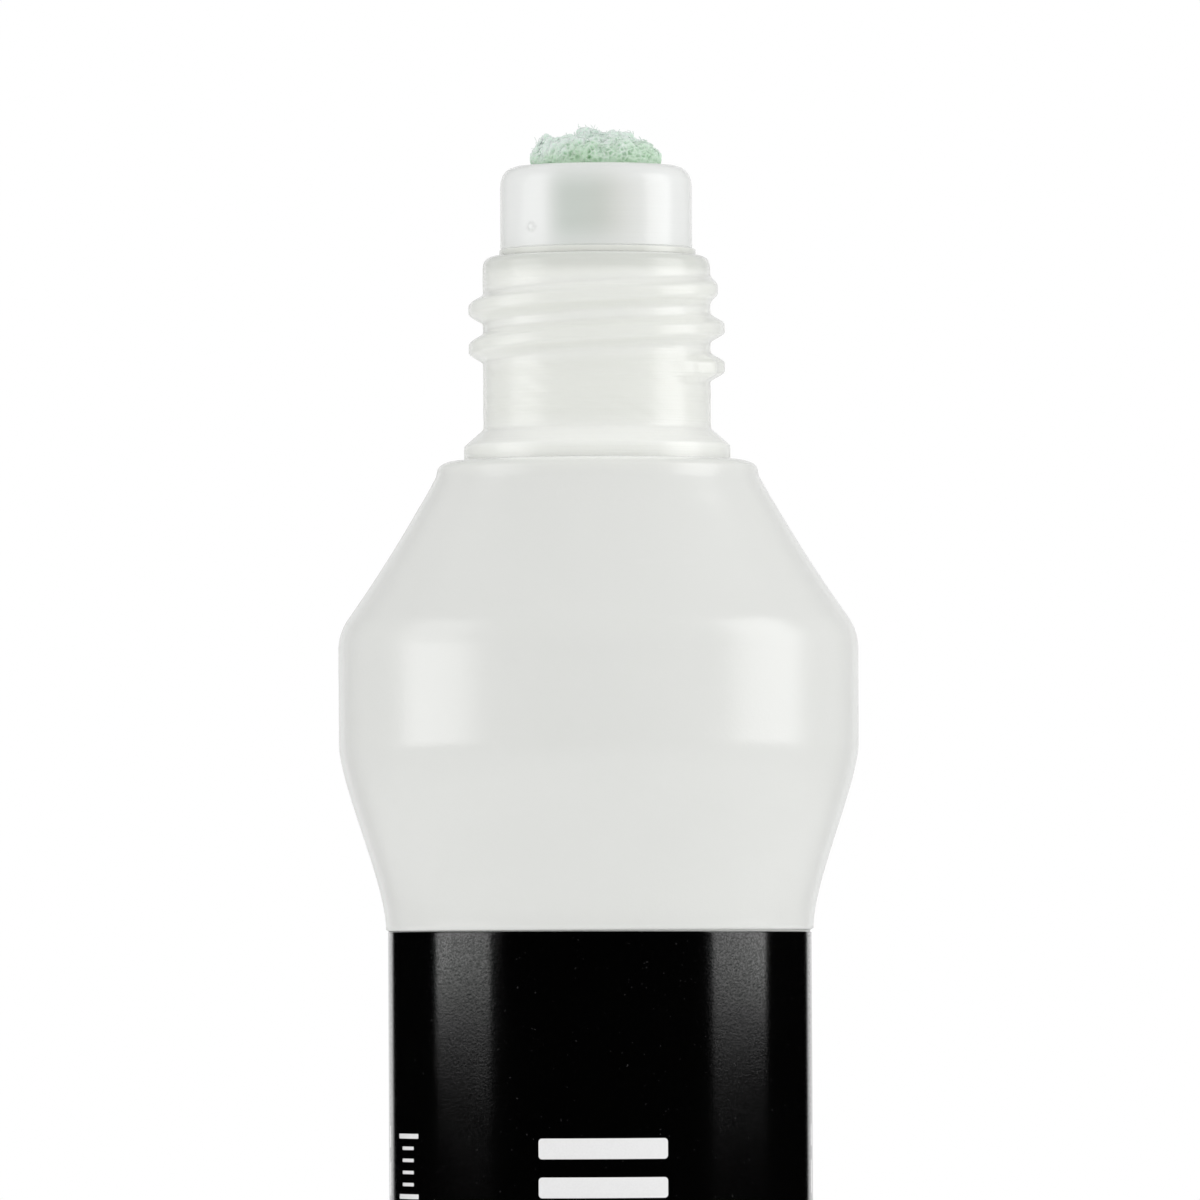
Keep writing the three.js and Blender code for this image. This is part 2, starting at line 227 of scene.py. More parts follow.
def capped(grid):
    """Vertices and faces of a turned grid whose first and last rows lie on the axis: each of
    those rows becomes one vertex with a fan of triangles."""
    rows, columns = grid.shape[:2]
    body = grid[1:-1]
    vertices = np.concatenate([body.reshape(-1, 3), grid[0, :1], grid[-1, :1]])
    quads = grid_faces(rows - 2, columns, False)
    low, high = len(vertices) - 2, len(vertices) - 1
    column = np.arange(columns)
    beside = (column + 1) % columns
    top = (rows - 3) * columns
    fan_low = np.stack([np.full(columns, low), beside, column], axis=-1)
    fan_high = np.stack([np.full(columns, high), top + column, top + beside], axis=-1)
    return vertices, quads.tolist() + fan_low.tolist() + fan_high.tolist()


def repeated(faces, corners, count):
    """The faces of one small shape with so many corners, for each of `count` such shapes."""
    shifts = corners * np.arange(count)[:, None, None]
    return (shifts + np.array(faces)).reshape(-1, len(faces[0])).tolist()


def add_mesh(name, vertices, faces, body, smooth=True):
    """A mesh object at the origin that rides on a CAD body."""
    mesh = bpy.data.meshes.new(name)
    mesh.from_pydata(np.asarray(vertices).tolist(), [], [list(f) for f in faces])
    mesh.polygons.foreach_set("use_smooth", np.full(len(mesh.polygons), smooth))
    mesh.update()
    thing = bpy.data.objects.new(name, mesh)
    bpy.context.collection.objects.link(thing)
    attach(thing, body)
    return thing


def add_values(thing, name, values):
    """One number for each vertex, which a material can read by its name."""
    stored = thing.data.attributes.new(name, "FLOAT", "POINT")
    stored.data.foreach_set("value", values)


def report(thing):
    """Prints a piece's triangle count and enclosed volume, which is positive when its faces point
    outwards: the sum over triangles of a . (b x c) / 6."""
    mesh = thing.data
    mesh.calc_loop_triangles()
    corners = np.empty(3 * len(mesh.loop_triangles), int)
    mesh.loop_triangles.foreach_get("vertices", corners)
    places = np.empty(3 * len(mesh.vertices))
    mesh.vertices.foreach_get("co", places)
    a, b, c = places.reshape(-1, 3)[corners.reshape(-1, 3)].transpose(1, 0, 2)
    volume = (a * np.cross(b, c)).sum() / 6
    print(thing.name, len(mesh.loop_triangles), "triangles,", round(volume * 1e9, 1), "mm3")


# %% [markdown]
# ## The bottle's outline
#
# A blow-moulded bottle has no sharp corner anywhere: the plastic is pressed against the mould by
# air, so every edge is a fillet. The outline runs from the middle of the base, out over the ring
# that it stands on, up the recessed grip, through the waist, over the bulge and along the slightly
# hollow cone to the shoulder's edge. The neck with its collar follows. Straight runs with fillets
# make the base and the neck. The waist and the cone have no straight run, so each is a curve with
# a few control points, which is easier to fit to what is seen than a row of corners.

# %% Outside of the bottle
# radius and height in mm
WAIST = (17.75, 84.3), (17.75, 88.175), (21.63, 96.39), (21.63, 99.8)
ROUND_CENTRE = np.array([17.13, 107.6])
ROUND_RADIUS = 4.5
CONE_TOP = np.array([13.4, 122.0])
CONE_LEAN = math.atan2(9.23, 14.4)
CONE_HOLLOW = 0.25


def waist_and_shoulder():
    """From the grip to the shoulder's edge: a cubic waist, a straight bulge, a round, and a
    quadratic curve as a slightly hollow cone."""
    a = np.linspace(0, CONE_LEAN, 13)[:, None]
    rounding = ROUND_CENTRE + ROUND_RADIUS * np.hstack([np.cos(a), np.sin(a)])
    low = rounding[-1]
    t = np.linspace(0, 1, 25)[1:, None]
    middle = (low + CONE_TOP) / 2 - (2 * CONE_HOLLOW, 0)
    cone = low * (1 - t) ** 2 + 2 * middle * t * (1 - t) + CONE_TOP * t**2
    return np.vstack([bezier(*WAIST, 36), rounding, cone]) * MM


def bottle_outside():
    """Outer profile from the middle of the base to the mouth of the bore, in metres."""
    base = rounded([
        (0, 1.2, 0), (9.0, 1.2, 2.0), (11.6, 0, 1.0), (17.8, 0, 2.4), (17.8, 7.7, 0.12),
        (17.45, 7.9, 0.12), (17.45, 84.1, 0.12), (17.75, 84.3, 0),
    ])
    edge_angle = np.linspace(0.12, math.pi / 2, 9)[:, None]
    edge = np.hstack([11.94 + 1.36 * np.cos(edge_angle), 122.45 + 0.85 * np.sin(edge_angle)]) * MM
    neck = rounded([
        (11.94, 123.3, 0), (11.04, 123.3, 0.12), (11.04, 124.55, 0.35), (9.42, 125.95, 0.5),
        (9.42, 140.4, 1.05), (7.8, 140.4, 0.15), (7.8, 139.9, 0),
    ])
    return np.vstack([base[:-1], waist_and_shoulder(), edge, neck[1:]])


outside = bottle_outside()
print("outline points:", len(outside), "widest, mm:", round(outside[:, 0].max() / MM, 2))

# %% [markdown]
# ## The thread
#
# The thread is a ridge that climbs the neck to the right. It could be a coil of its own, joined
# to the neck by a Boolean, but moulded plastic has no edge between the two. So the neck's own
# surface rises: the distance to the nearest turn of the helix is put through a smooth step, times
# a rise that eases in at the start and fades out at the end. Its start has a few ripples.

# %% Height of the thread
THREAD_HEIGHT = 1.2 * MM
THREAD_PITCH = 3.25 * MM
THREAD_START = RIM - 9.8 * MM
THREAD_START_ANGLE = math.radians(-52)
THREAD_TURNS = 2.22
CREST_HALF = 0.34 * MM
FOOT_HALF = 1.32 * MM


def smooth_step(low, high, value):
    """0 below low, 1 above high, and t * t * (3 - 2 t) between."""
    t = np.clip((value - low) / (high - low), 0, 1)
    return t * t * (3 - 2 * t)


def thread_height(angle, height):
    """How far the thread stands out at an angle and height: the largest over its turns of
    section(height - helix) * rise(turns gone)."""
    first = np.mod(angle - THREAD_START_ANGLE, 2 * math.pi) / (2 * math.pi)
    result = np.zeros(np.broadcast(angle, height).shape)
    for whole in range(math.ceil(THREAD_TURNS)):
        gone = first + whole
        offset = np.abs(height - THREAD_START - THREAD_PITCH * gone)
        section = 1 - smooth_step(CREST_HALF, FOOT_HALF, offset)
        fall = smooth_step(THREAD_TURNS - 0.16, THREAD_TURNS, gone)
        rise = smooth_step(0, 0.12, gone) * (1 - fall)
        bumps = 1 - 0.16 * np.sin(130 * gone) * (1 - smooth_step(0.08, 0.15, gone))
        result = np.maximum(result, section * rise * bumps)
    return THREAD_HEIGHT * result


# %% [markdown]
# ## The bottle's wall
#
# The inside follows the outside one wall further in, then leaves it at the shoulder and runs up
# the bore. Solidify could thicken the outside, but blown plastic is thin in the body and thick in
# the neck, so the inside has a profile of its own, and one closed grid carries both. A halved mould
# leaves a fine ridge where its halves meet, here on the left and the right. The ridge is a real
# bump in the surface, so the grid's columns bunch there.

# %% Build the bottle
WALL = 1.1 * MM
PARTING_WIDTH = math.radians(0.6)
PARTING_HEIGHT = 0.06 * MM
NECK_FOOT = 124.5 * MM
THREADED_FROM, THREADED_TO = 126.4 * MM, 139.6 * MM
OUTER_RADIUS = 8.2 * MM
BLOWN_TO = 120 * MM
BLOWN_WAVE = 0.05 * MM
NECK_WAVE = 0.0028 * MM
GROOVE_SIDE = 1.1 * MM


def inset(profile, distance):
    """Each point moved to the left of the profile's run by a distance, along the mean normal."""
    tangent = np.gradient(profile, axis=0)
    tangent /= np.linalg.norm(tangent, axis=1)[:, None]
    return profile + distance * np.stack([-tangent[:, 1], tangent[:, 0]], axis=1)


def bottle_inside():
    """Inner profile from the bore down to the middle of the floor, in metres."""
    wall = inset(waist_and_shoulder(), WALL)[::-4]
    throat = rounded([(7.8, 139.9, 0), (7.8, 121.9, 1.6), (11.2, 121.9, 0)])
    floor = rounded([(16.35, 84.0, 0), (16.7, 7.0, 1.0), (16.7, 1.3, 1.3), (11.6, 1.3, 1.0),
                     (9.0, 2.5, 1.0), (0, 2.5, 0)])
    return np.vstack([throat[1:], wall[:-1], floor[1:]])


def bunched_angles(columns, places, width, each):
    """Even angles round a circle, with `each` more on both sides of every place."""
    near = np.linspace(-2.2, 2.2, 2 * each + 1) * width
    extra = (np.array(places)[:, None] + near).ravel()
    angles = np.sort(np.mod(np.concatenate([even_angles(columns), extra]), 2 * math.pi))
    return angles[np.diff(angles, append=angles[0] + 2 * math.pi) > 1e-4]


def parting_ridge(angle):
    """A ridge on the left and on the right: exp(-(angle from the plane / width) squared)."""
    away = np.abs(np.sin(angle)) / np.sin(PARTING_WIDTH)
    return np.exp(-away**2)


NECK_WAVES = np.column_stack([
    rng.integers(4, 30, 12), rng.uniform(1.2, 6.0, 12), rng.uniform(0, 6.28, 12),
])


def neck_unevenness(angle, height):
    """The neck's slightly wavy skin: twelve crossed waves."""
    waves = [np.sin(k * angle + q * height / MM + phase) for k, q, phase in NECK_WAVES]
    return NECK_WAVE * sum(waves)


def blown_unevenness(angle, height):
    """The slow waves of blown plastic: sin(2 angle) times sin(height)."""
    return BLOWN_WAVE * np.sin(2 * angle + 0.7) * np.sin(height / (9 * MM))


def hollow(angle, height):
    """How deep a point lies in a groove of the thread, from 0 to 1: the mean height a little above
    and below it, less its own."""
    above, here, below = (thread_height(angle, height + d * GROOVE_SIDE) for d in (1, 0, -1))
    return np.clip(((above + below) / 2 - here) / THREAD_HEIGHT, 0, 1)


def make_bottle():
    """The closed wall: the outside with its thread and parting ridge, then the inside."""
    below = spaced(outside[outside[:, 1] < NECK_FOOT], 2 * MM)
    above = spaced(outside[outside[:, 1] >= NECK_FOOT], 0.15 * MM)
    profile = np.vstack([below, above, spaced(bottle_inside(), 6 * MM)])
    angles = bunched_angles(180, (0, math.pi), PARTING_WIDTH, 4)
    grid = turned(profile, angles)
    radius, height = profile[:, 0, None], profile[:, 1, None]
    outer_rows = np.arange(len(profile))[:, None] < len(below) + len(above)
    upright = outer_rows & (radius > OUTER_RADIUS) & (height > 0.8 * MM)
    on_neck = upright & (height > THREADED_FROM) & (height < THREADED_TO)
    growth = np.zeros(grid.shape[:2])
    for where, amount in (
        (on_neck, thread_height(angles, height)),
        (upright, PARTING_HEIGHT * parting_ridge(angles)),
        (upright & (height < BLOWN_TO), blown_unevenness(angles, height)),
        (upright & (height > THREADED_FROM), neck_unevenness(angles, height)),
    ):
        growth += np.where(where, amount, 0)
    push_out(grid, angles, growth)
    thing = add_mesh("bottle_shell", *capped(grid), "bottle_body")
    depth = np.where(on_neck, hollow(angles, height), 0)[1:-1].ravel()
    add_values(thing, "hollow", np.append(depth, (0, 0)))
    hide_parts("bottle")
    return thing


bottle = make_bottle()
report(bottle)


# %% [markdown]
# Under the base, the mould pinched the hot tube shut and left a short seam. The base's grid has its
# pole there, where columns meet and a straight ridge would be ragged, so the seam is a small bar of
# its own, rooted in the base.

# %% Build the seam under the base
SEAM_HALF_LENGTH = 6.5 * MM
SEAM_REACH = 6.51 * MM
SEAM_HALF_WIDTH = 0.4 * MM
SEAM_HALF_DEPTH = 0.55 * MM
SEAM_HEIGHT = 1.25 * MM


def with_ends(grid):
    """A bar's rings of points, with its first and last ring also drawn together to a point, which
    closes the bar's ends."""
    sides = grid.shape[1]
    ends = [ring.mean(axis=1, keepdims=True) for ring in (grid[:1], grid[-1:])]
    return np.concatenate([np.repeat(ends[0], sides, 1), grid, np.repeat(ends[1], sides, 1)])


def make_pinch_seam():
    """A bar of elliptic section, rooted in the base. Its size at a share u of its reach is
    1 - u^4."""
    along = SEAM_HALF_LENGTH * np.linspace(-1, 1, 49)[:, None]
    across = np.linspace(0, 2 * math.pi, 17)[:-1][None, :]
    size = np.clip(1 - (along / SEAM_REACH) ** 4, 0.02, 1)
    grid = np.stack(np.broadcast_arrays(
        along + 0 * across, SEAM_HALF_WIDTH * size * np.cos(across),
        SEAM_HEIGHT + SEAM_HALF_DEPTH * size * np.sin(across),
    ), axis=-1)
    thing = add_mesh("pinch_seam", *capped(with_ends(grid)), "bottle_body")
    return thing


pinch_seam = make_pinch_seam()
report(pinch_seam)

# %% [markdown]
# ## The label
#
# The label is a thin film wrapped once round the grip. Its last few millimetres lap over its
# start at the back, so the surface climbs one film's thickness over a millimetre and drops again
# at the cut end. The film was put on very slightly askew, so its edges tilt. A bent plane with a
# Solidify modifier would do for a plain film. Here only the outer face climbs on the lap, so both
# faces and the rounded edges between them are rows of one grid.

# %% Build the label
FILM = 0.15 * MM
LABEL_INNER = LABEL_RADIUS - FILM
LAP_START = math.radians(81)
LAP_END = math.radians(99)
LAP_RAMP = 0.05
LAP_CUT = 0.004
EDGE_TILT = 0.07 * MM


def lap_height(angle):
    """0 away from the lap, 1 on it: a ramp a millimetre long, then a drop at the cut end."""
    ramp = smooth_step(LAP_START - LAP_RAMP, LAP_START, angle)
    cut = 1 - smooth_step(LAP_END - LAP_CUT, LAP_END, angle)
    return ramp * cut


def make_label():
    """A closed loop (outer face up, over the top edge, inner face down, round the bottom edge)
    carried round, with the outer face raised on the lap and both edges tilted."""
    rows_up = 40
    up_line = np.concatenate([(0, 0.0008), np.linspace(0, 1, rows_up - 2)[1:-1], (0.9992, 1)])
    turn = np.linspace(0, math.pi, 5)[1:-1]
    inwards = 0.5 + 0.5 * np.cos(turn)
    edge = 0.0006 * np.sin(turn)
    depth = np.concatenate([np.ones(rows_up), inwards, np.zeros(rows_up), 1 - inwards])
    up = np.concatenate([up_line, 1 + edge, up_line[::-1], -edge])[:, None]
    angles = np.sort(np.concatenate([
        even_angles(200),
        LAP_START + np.linspace(-LAP_RAMP, 0, 7)[1:-1],
        LAP_END + np.linspace(-LAP_CUT, 0, 5),
    ]))
    radius = LABEL_INNER + FILM * depth[:, None] * (1 + lap_height(angles)[None, :])
    tilt = EDGE_TILT * np.cos(angles)[None, :]
    z = LABEL_BOTTOM + (LABEL_TOP - LABEL_BOTTOM) * up - tilt * (2 * up - 1) ** 2
    grid = np.stack([radius * np.cos(angles), radius * np.sin(angles), z], axis=-1)
    faces = grid_faces(len(depth), len(angles), True)
    thing = add_mesh("label_film", grid.reshape(-1, 3), faces, "bottle_body")
    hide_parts("label")
    return thing


label = make_label()
report(label)

# %% [markdown]
# ## The tip holder
#
# The holder is one injection moulding: a plug with two sealing beads, a thin flange that rests on
# the bottle's rim, and a cup with a rounded shoulder and a lip that keeps the foam in. Its outline
# is a closed loop, so the loop is carried round and joined to itself. Three ribs cross inside the
# cup and carry the foam. They run into its wall without a Boolean, because nobody sees where they
# meet and a Boolean would leave ragged faces. The gate, where plastic entered the mould, leaves a
# nub on the cup, for which the loop has a few finer rows.

# %% Build the tip holder
SEAT = RIM + 0.01 * MM
GATE_ANGLE = math.radians(-132)
GATE_HEIGHT = 142.6 * MM
GATE_SIZE = 0.34 * MM
GATE_ROOM = 0.85 * MM
CUP_RADIUS = 8.0 * MM
NUB_HEIGHT = 0.2 * MM
FLANGE_SHIFT = 0.1 * MM
RIB_SIDES = 20
RIB_HALF_LENGTH = 6.8 * MM
RIB_HALF_WIDTH = 0.55 * MM
RIB_DEPTH = 1.4 * MM
RIB_TOP = SEAT - 4.6 * MM


def holder_loop():
    """The holder's section as a closed loop of (radius, height), from half way up its bore, with
    fine rows at the gate."""
    nose, rim, seat, top = (h / MM for h in (NOSE, RIM, SEAT, CUP_TOP))
    beads = []
    for depth in (5.6, 2.6):
        z = rim - depth
        beads += [(7.6, z - 0.45, 0.15), (7.75, z - 0.15, 0.12)]
        beads += [(7.75, z + 0.15, 0.12), (7.6, z + 0.45, 0.15)]
    loop = rounded([
        (6.3, 138, 0), (6.3, nose, 0.1), (7.1, nose, 0.2), (7.6, nose + 1, 0.4), *beads,
        (7.6, seat, 0.08), (8.2, seat, 0.015), (8.18, seat + 0.5, 0.06),
        (7.93, seat + 0.56, 0.015), (8.0, seat + 0.66, 0.03), (8.0, top, 1.8),
        (5.81, top, 0.25), (5.56, top - 0.25, 0.2), (5.56, top - 1.7, 0.1),
        (6.3, top - 1.7, 0.2), (6.3, 138, 0),
    ])
    loop = spaced(loop, 1.2 * MM)[:-1]
    on_cup = loop[:, 0] > 7.9 * MM
    below = np.nonzero(on_cup & (loop[:, 1] < GATE_HEIGHT - GATE_ROOM))[0][-1]
    above = np.nonzero(on_cup & (loop[:, 1] > GATE_HEIGHT + GATE_ROOM))[0][0]
    heights = GATE_HEIGHT + np.linspace(-0.8, 0.8, 15) * MM
    fine = np.column_stack([np.full(15, CUP_RADIUS), heights])
    return np.vstack([loop[:below + 1], fine, loop[above:]])


def rib(turn):
    """Vertices and faces of a bar along a turned X axis. Its section is the rounded box
    |y|^6 + |z|^6 = 1, drawn by cos and sin to the power 1/3."""
    a = even_angles(RIB_SIDES)
    box_y, box_z = (np.sign(w) * np.abs(w) ** (1 / 3) for w in (np.cos(a), np.sin(a)))
    along = np.linspace(-RIB_HALF_LENGTH, RIB_HALF_LENGTH, 9)
    x, y = np.broadcast_arrays(along[:, None], RIB_HALF_WIDTH * box_y[None, :])
    z = np.broadcast_to(RIB_TOP - RIB_DEPTH / 2 + RIB_DEPTH / 2 * box_z, x.shape)
    grid = np.stack([
        x * math.cos(turn) - y * math.sin(turn), x * math.sin(turn) + y * math.cos(turn), z
    ], axis=-1)
    return capped(with_ends(grid))


def joined(parts):
    """Several (vertices, faces) pairs as one."""
    starts = np.cumsum([0, *[len(vertices) for vertices, _ in parts]])
    faces = [
        [start + corner for corner in face]
        for start, (_, part) in zip(starts, parts) for face in part
    ]
    return np.concatenate([vertices for vertices, _ in parts]), faces


def make_holder():
    """The turned loop with the gate's nub, exp(-(distance / size)^4) high, a flange that sits a
    little to the right, and the three ribs."""
    loop = holder_loop()
    angles = bunched_angles(168, (GATE_ANGLE,), 0.02, 5)
    grid = turned(loop, angles)
    radius, height = loop[:, 0, None], loop[:, 1, None]
    across = 2 * CUP_RADIUS * np.sin((angles - GATE_ANGLE) / 2)
    away = np.hypot(across, height - GATE_HEIGHT) / GATE_SIZE
    nub = np.where(radius > 7.9 * MM, NUB_HEIGHT * np.exp(-away**4), 0)
    shift = np.where(radius > 8.02 * MM, FLANGE_SHIFT * np.cos(angles), 0)
    push_out(grid, angles, nub + shift)
    shell = grid.reshape(-1, 3), grid_faces(len(loop), len(angles), True).tolist()
    ribs = [rib(turn * math.pi / 3) for turn in range(3)]
    thing = add_mesh("holder_shell", *joined([shell, *ribs]), "holder")
    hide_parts("tip_holder")
    return thing


holder = make_holder()
report(holder)

# %% [markdown]
# ## The foam tip
#
# The tip is a plug of coarse open-cell foam, cut so that its end is ragged. Real foam is a mass of
# bubbles, and subtracting those from a block would take millions of faces. Two pieces stand for it:
# a lumpy body with pores, which lies in the cup, and a net of thin struts with a few torn
# membranes, which gives the crown its crumbs and its open outline.

# %% The crown's surface
CROWN_RADIUS = 5.46
CROWN_DOME = 2.05
LIP_RADIUS = 5.5
CLUMPS = np.array([
    # x, y, size, height in mm
    (0.6, -0.8, 1.6, 0.75), (-1.1, -1.0, 0.8, 0.75), (-4.3, -0.6, 1.3, 0.5),
    (3.7, -0.8, 1.1, 0.15), (2.1, -0.4, 0.8, 0.2), (-0.8, 2.6, 1.5, 0.35),
    (2.7, 2.7, 1.2, 0.35), (-3.0, 2.8, 1.2, 0.35), (-2.6, -0.5, 0.7, 0.15),
])
CROWN_WAVES = rng.normal(size=(9, 2)) * 2.6
CROWN_PHASES = rng.uniform(0, 2 * math.pi, 9)
LUMP_WAVES = rng.normal(size=(14, 3)) * 3.6
LUMP_PHASES = rng.uniform(0, 2 * math.pi, 14)


def crossed_waves(places, waves, phases):
    """The sum over the waves of sin(place . wave + phase)."""
    return sum(np.sin(places @ wave + phase) for wave, phase in zip(waves, phases))


def crown_height(x, y):
    """Height in mm of the foam over the cup's top: a flat dome with a steep edge, plus a bell for
    each clump, plus nine crossed waves, all times (1 - share^8)^0.5."""
    share = np.clip(np.hypot(x, y) / CROWN_RADIUS, 0, 1)
    bells = sum(
        h * np.exp(-((x - cx) ** 2 + (y - cy) ** 2) / size**2) for cx, cy, size, h in CLUMPS
    )
    waves = crossed_waves(np.stack([x, y], axis=-1), CROWN_WAVES, CROWN_PHASES)
    return (CROWN_DOME + bells + 0.06 * waves) * (1 - share**8) ** 0.5


def within_lip(points):
    """The same points, none further from the axis than the hole in the cup's lip allows, so that
    the crown can be pressed into it."""
    reach = np.hypot(points[..., 0], points[..., 1])
    points = points.copy()
    points[..., :2] *= np.minimum(1, LIP_RADIUS / np.maximum(reach, 0.01))[..., None]
    return points


def lattice_points(spacing, shake):
    """A body-centred lattice round the crown, in mm over the cup's top, each point pushed about at
    random, with how far it lies over the crown's surface."""
    steps = np.arange(-12, 13) * spacing
    corner = np.stack(np.meshgrid(steps, steps, steps, indexing="ij"), axis=-1).reshape(-1, 3)
    lattice = np.concatenate([corner, corner + spacing / 2])
    lattice = lattice + rng.normal(size=lattice.shape) * shake
    return lattice, lattice[:, 2] - crown_height(lattice[:, 0], lattice[:, 1])


# %% [markdown]
# The body's pores are cells, as in Blender's Voronoi texture: every point is measured to its two
# nearest cell centres, and lies on a ridge where both are equally far. A Displace modifier could
# use that texture. Worked out here, the same number also goes into the mesh, so that the material
# can paint shade inside each cell.

# %% Build the foam's body
CELL = 0.5
RIDGE = 0.05
PIT = 0.2


def cell_relief(points, centres):
    """0 on the ridge between two cells, 1 inside one: a smooth step of the difference between the
    distances to the second nearest and the nearest centre."""
    squares = (points**2).sum(1)[:, None] + (centres**2).sum(1)[None, :] - 2 * points @ centres.T
    near = np.sqrt(np.maximum(np.partition(squares, 1, axis=1)[:, :2], 0))
    return smooth_step(0.0, 0.3, near[:, 1] - near[:, 0])


def make_foam_body():
    """A plug that fills the cup under the lip, and a crown whose surface is moved along its
    normal: out by fourteen crossed waves and on the ridges, in by the pits of the cells, which
    are deeper in some places than in others."""
    top = CUP_TOP / MM
    share = np.sin(np.linspace(1, 0, 110) * math.pi / 2)
    side = rounded([
        (0, FOAM_BOTTOM / MM, 0), (6.2, FOAM_BOTTOM / MM, 0.5), (6.2, top - 1.73, 0.3),
        (5.4, top - 1.73, 0.1), (5.4, top - 0.3, 0),
    ])
    side = spaced(side, 0.5 * MM) / MM
    angles = even_angles(400)
    crown = turned(np.stack([CROWN_RADIUS * share, 0 * share], axis=1), angles)
    crown[..., 2] = crown_height(crown[..., 0], crown[..., 1])
    crown[..., :2] *= 0.985
    normal = np.cross(np.roll(crown, -1, 1) - np.roll(crown, 1, 1), np.gradient(crown, axis=0))
    normal[-1] = (0, 0, 1)
    normal /= np.linalg.norm(normal, axis=-1, keepdims=True)
    places = crown.reshape(-1, 3).astype(np.float32)
    lattice, over = lattice_points(CELL, 0.14)
    reach = np.hypot(lattice[:, 0], lattice[:, 1])
    edge = (reach > CROWN_RADIUS - 0.4) & (reach < CROWN_RADIUS + 0.4) & (over < 0.4)
    centres = lattice[((np.abs(over) < 0.5) | edge) & (lattice[:, 2] > -0.4)].astype(np.float32)
    relief = [cell_relief(part, centres) for part in np.array_split(places, 8)]
    relief = np.concatenate(relief).reshape(crown.shape[:2])
    lumps, fine, slow = (
        crossed_waves(size * crown, LUMP_WAVES, way * LUMP_PHASES)
        for size, way in ((1, 1), (3.3, 1), (0.6, -1))
    )
    relief = relief * np.clip(0.55 + 0.16 * slow, 0.15, 1)
    free = smooth_step(0.0, 0.5, crown[..., 2])
    move = (0.03 * lumps + 0.012 * fine + RIDGE) * free - PIT * relief * (0.35 + 0.65 * free)
    crown += move[..., None] * normal
    crown = within_lip(crown)
    grid = np.concatenate([turned(side, angles), crown + (0, 0, top)]) * MM
    thing = add_mesh("foam_body", *capped(grid), "foam")
    depth = np.concatenate([np.full((len(side), len(angles)), 0.8), relief])
    add_values(thing, "depth", np.concatenate([depth[1:-1].ravel(), (0.8, depth[-1, 0])]))
    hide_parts("foam_tip")
    print(len(centres), "cells")
    return thing


foam_body = make_foam_body()
report(foam_body)

# %% [markdown]
# The net starts as a body-centred lattice of points, each pushed about at random, of which those
# near the crown's surface are kept. Near points are tied by struts. The Wireframe modifier would
# make them straight and of one thickness. Here a strut is a three-sided bar, thick at its ends and
# thin in its bent middle, as the edges between bubbles are. All distances come from one table, and
# all struts are one array. Two more bunches of struts stand loose on the crown, most of them over
# its middle.

# %% Build the foam's net
NET_CELL = 0.46
KEEP_TIES = 0.34
NET_DEPTH = 0.34
KEEP_MEMBRANES = 0.85
STRUT = 0.035, 0.028, 0.05
FIBRE = 0.04, 0.032, 0.09
MEMBRANE = 0.03


def net_points():
    """Lattice points near the crown's surface, in mm above the cup's top."""
    lattice, over = lattice_points(NET_CELL, 0.1)
    reach = np.hypot(lattice[:, 0], lattice[:, 1])
    near = (over < 0.16) & (over > -NET_DEPTH)
    edge = (reach > CROWN_RADIUS - 0.3) & (over < 0.1)
    return lattice[(near | edge) & (reach < CROWN_RADIUS) & (lattice[:, 2] > 0.05)]


def net_ties(points):
    """Pairs of points closer than 1.12 cells, thinned at random."""
    gaps = ((points[:, None, :] - points[None, :, :]) ** 2).sum(axis=-1)
    first, second = np.nonzero(np.triu(gaps < (1.12 * NET_CELL) ** 2, 1))
    kept = rng.random(len(first)) < KEEP_TIES
    return first[kept], second[kept]


def frames_along(direction):
    """Two unit vectors square to each direction."""
    helper = np.where(np.abs(direction[:, 2:]) < 0.9, (0.0, 0.0, 1.0), (1.0, 0.0, 0.0))
    side = np.cross(direction, helper)
    side /= np.linalg.norm(side, axis=1)[:, None]
    return side, np.cross(direction, side)


def strut_mesh(starts, ends, thick, thin, bend):
    """Three rings of three corners for each strut: ring k lies at start + t (end - start), bent
    aside in the middle, with radius thick, thin, thick."""
    count = len(starts)
    direction = ends - starts
    direction = direction / np.linalg.norm(direction, axis=1)[:, None]
    side, up = frames_along(direction)
    size = rng.uniform(0.7, 1.3, (count, 1, 1, 1))
    spin = rng.uniform(0, 2 * math.pi, (count, 1)) + np.arange(3) * 2 * math.pi / 3
    ring = np.cos(spin)[..., None] * side[:, None, :] + np.sin(spin)[..., None] * up[:, None, :]
    middle = (starts + ends) / 2 + rng.normal(size=starts.shape) * bend
    centre = np.stack([starts, middle, ends], axis=1)[:, :, None, :]
    radius = np.array([thick, thin, thick])[None, :, None, None] * size
    vertices = (centre + radius * ring[:, None, :, :]).reshape(-1, 3)
    sides = repeated(grid_faces(3, 3, False), 9, count)
    return vertices, sides + repeated([[2, 1, 0], [6, 7, 8]], 9, count)


def membrane_mesh(a, b, c, thickness):
    """A thin closed patch over each triangle abc: both faces, raised or sunk by half the
    thickness along the normal, and the rim between them."""
    normal = np.cross(b - a, c - a)
    normal /= np.linalg.norm(normal, axis=1)[:, None]
    corners = np.stack([a, b, c], axis=1)
    offset = normal[:, None, :] * thickness / 2
    vertices = np.concatenate([corners + offset, corners - offset], axis=1).reshape(-1, 3)
    faces = repeated([[0, 1, 2], [5, 4, 3]], 6, len(a))
    return vertices, faces + repeated([[1, 0, 3, 4], [2, 1, 4, 5], [0, 2, 5, 3]], 6, len(a))


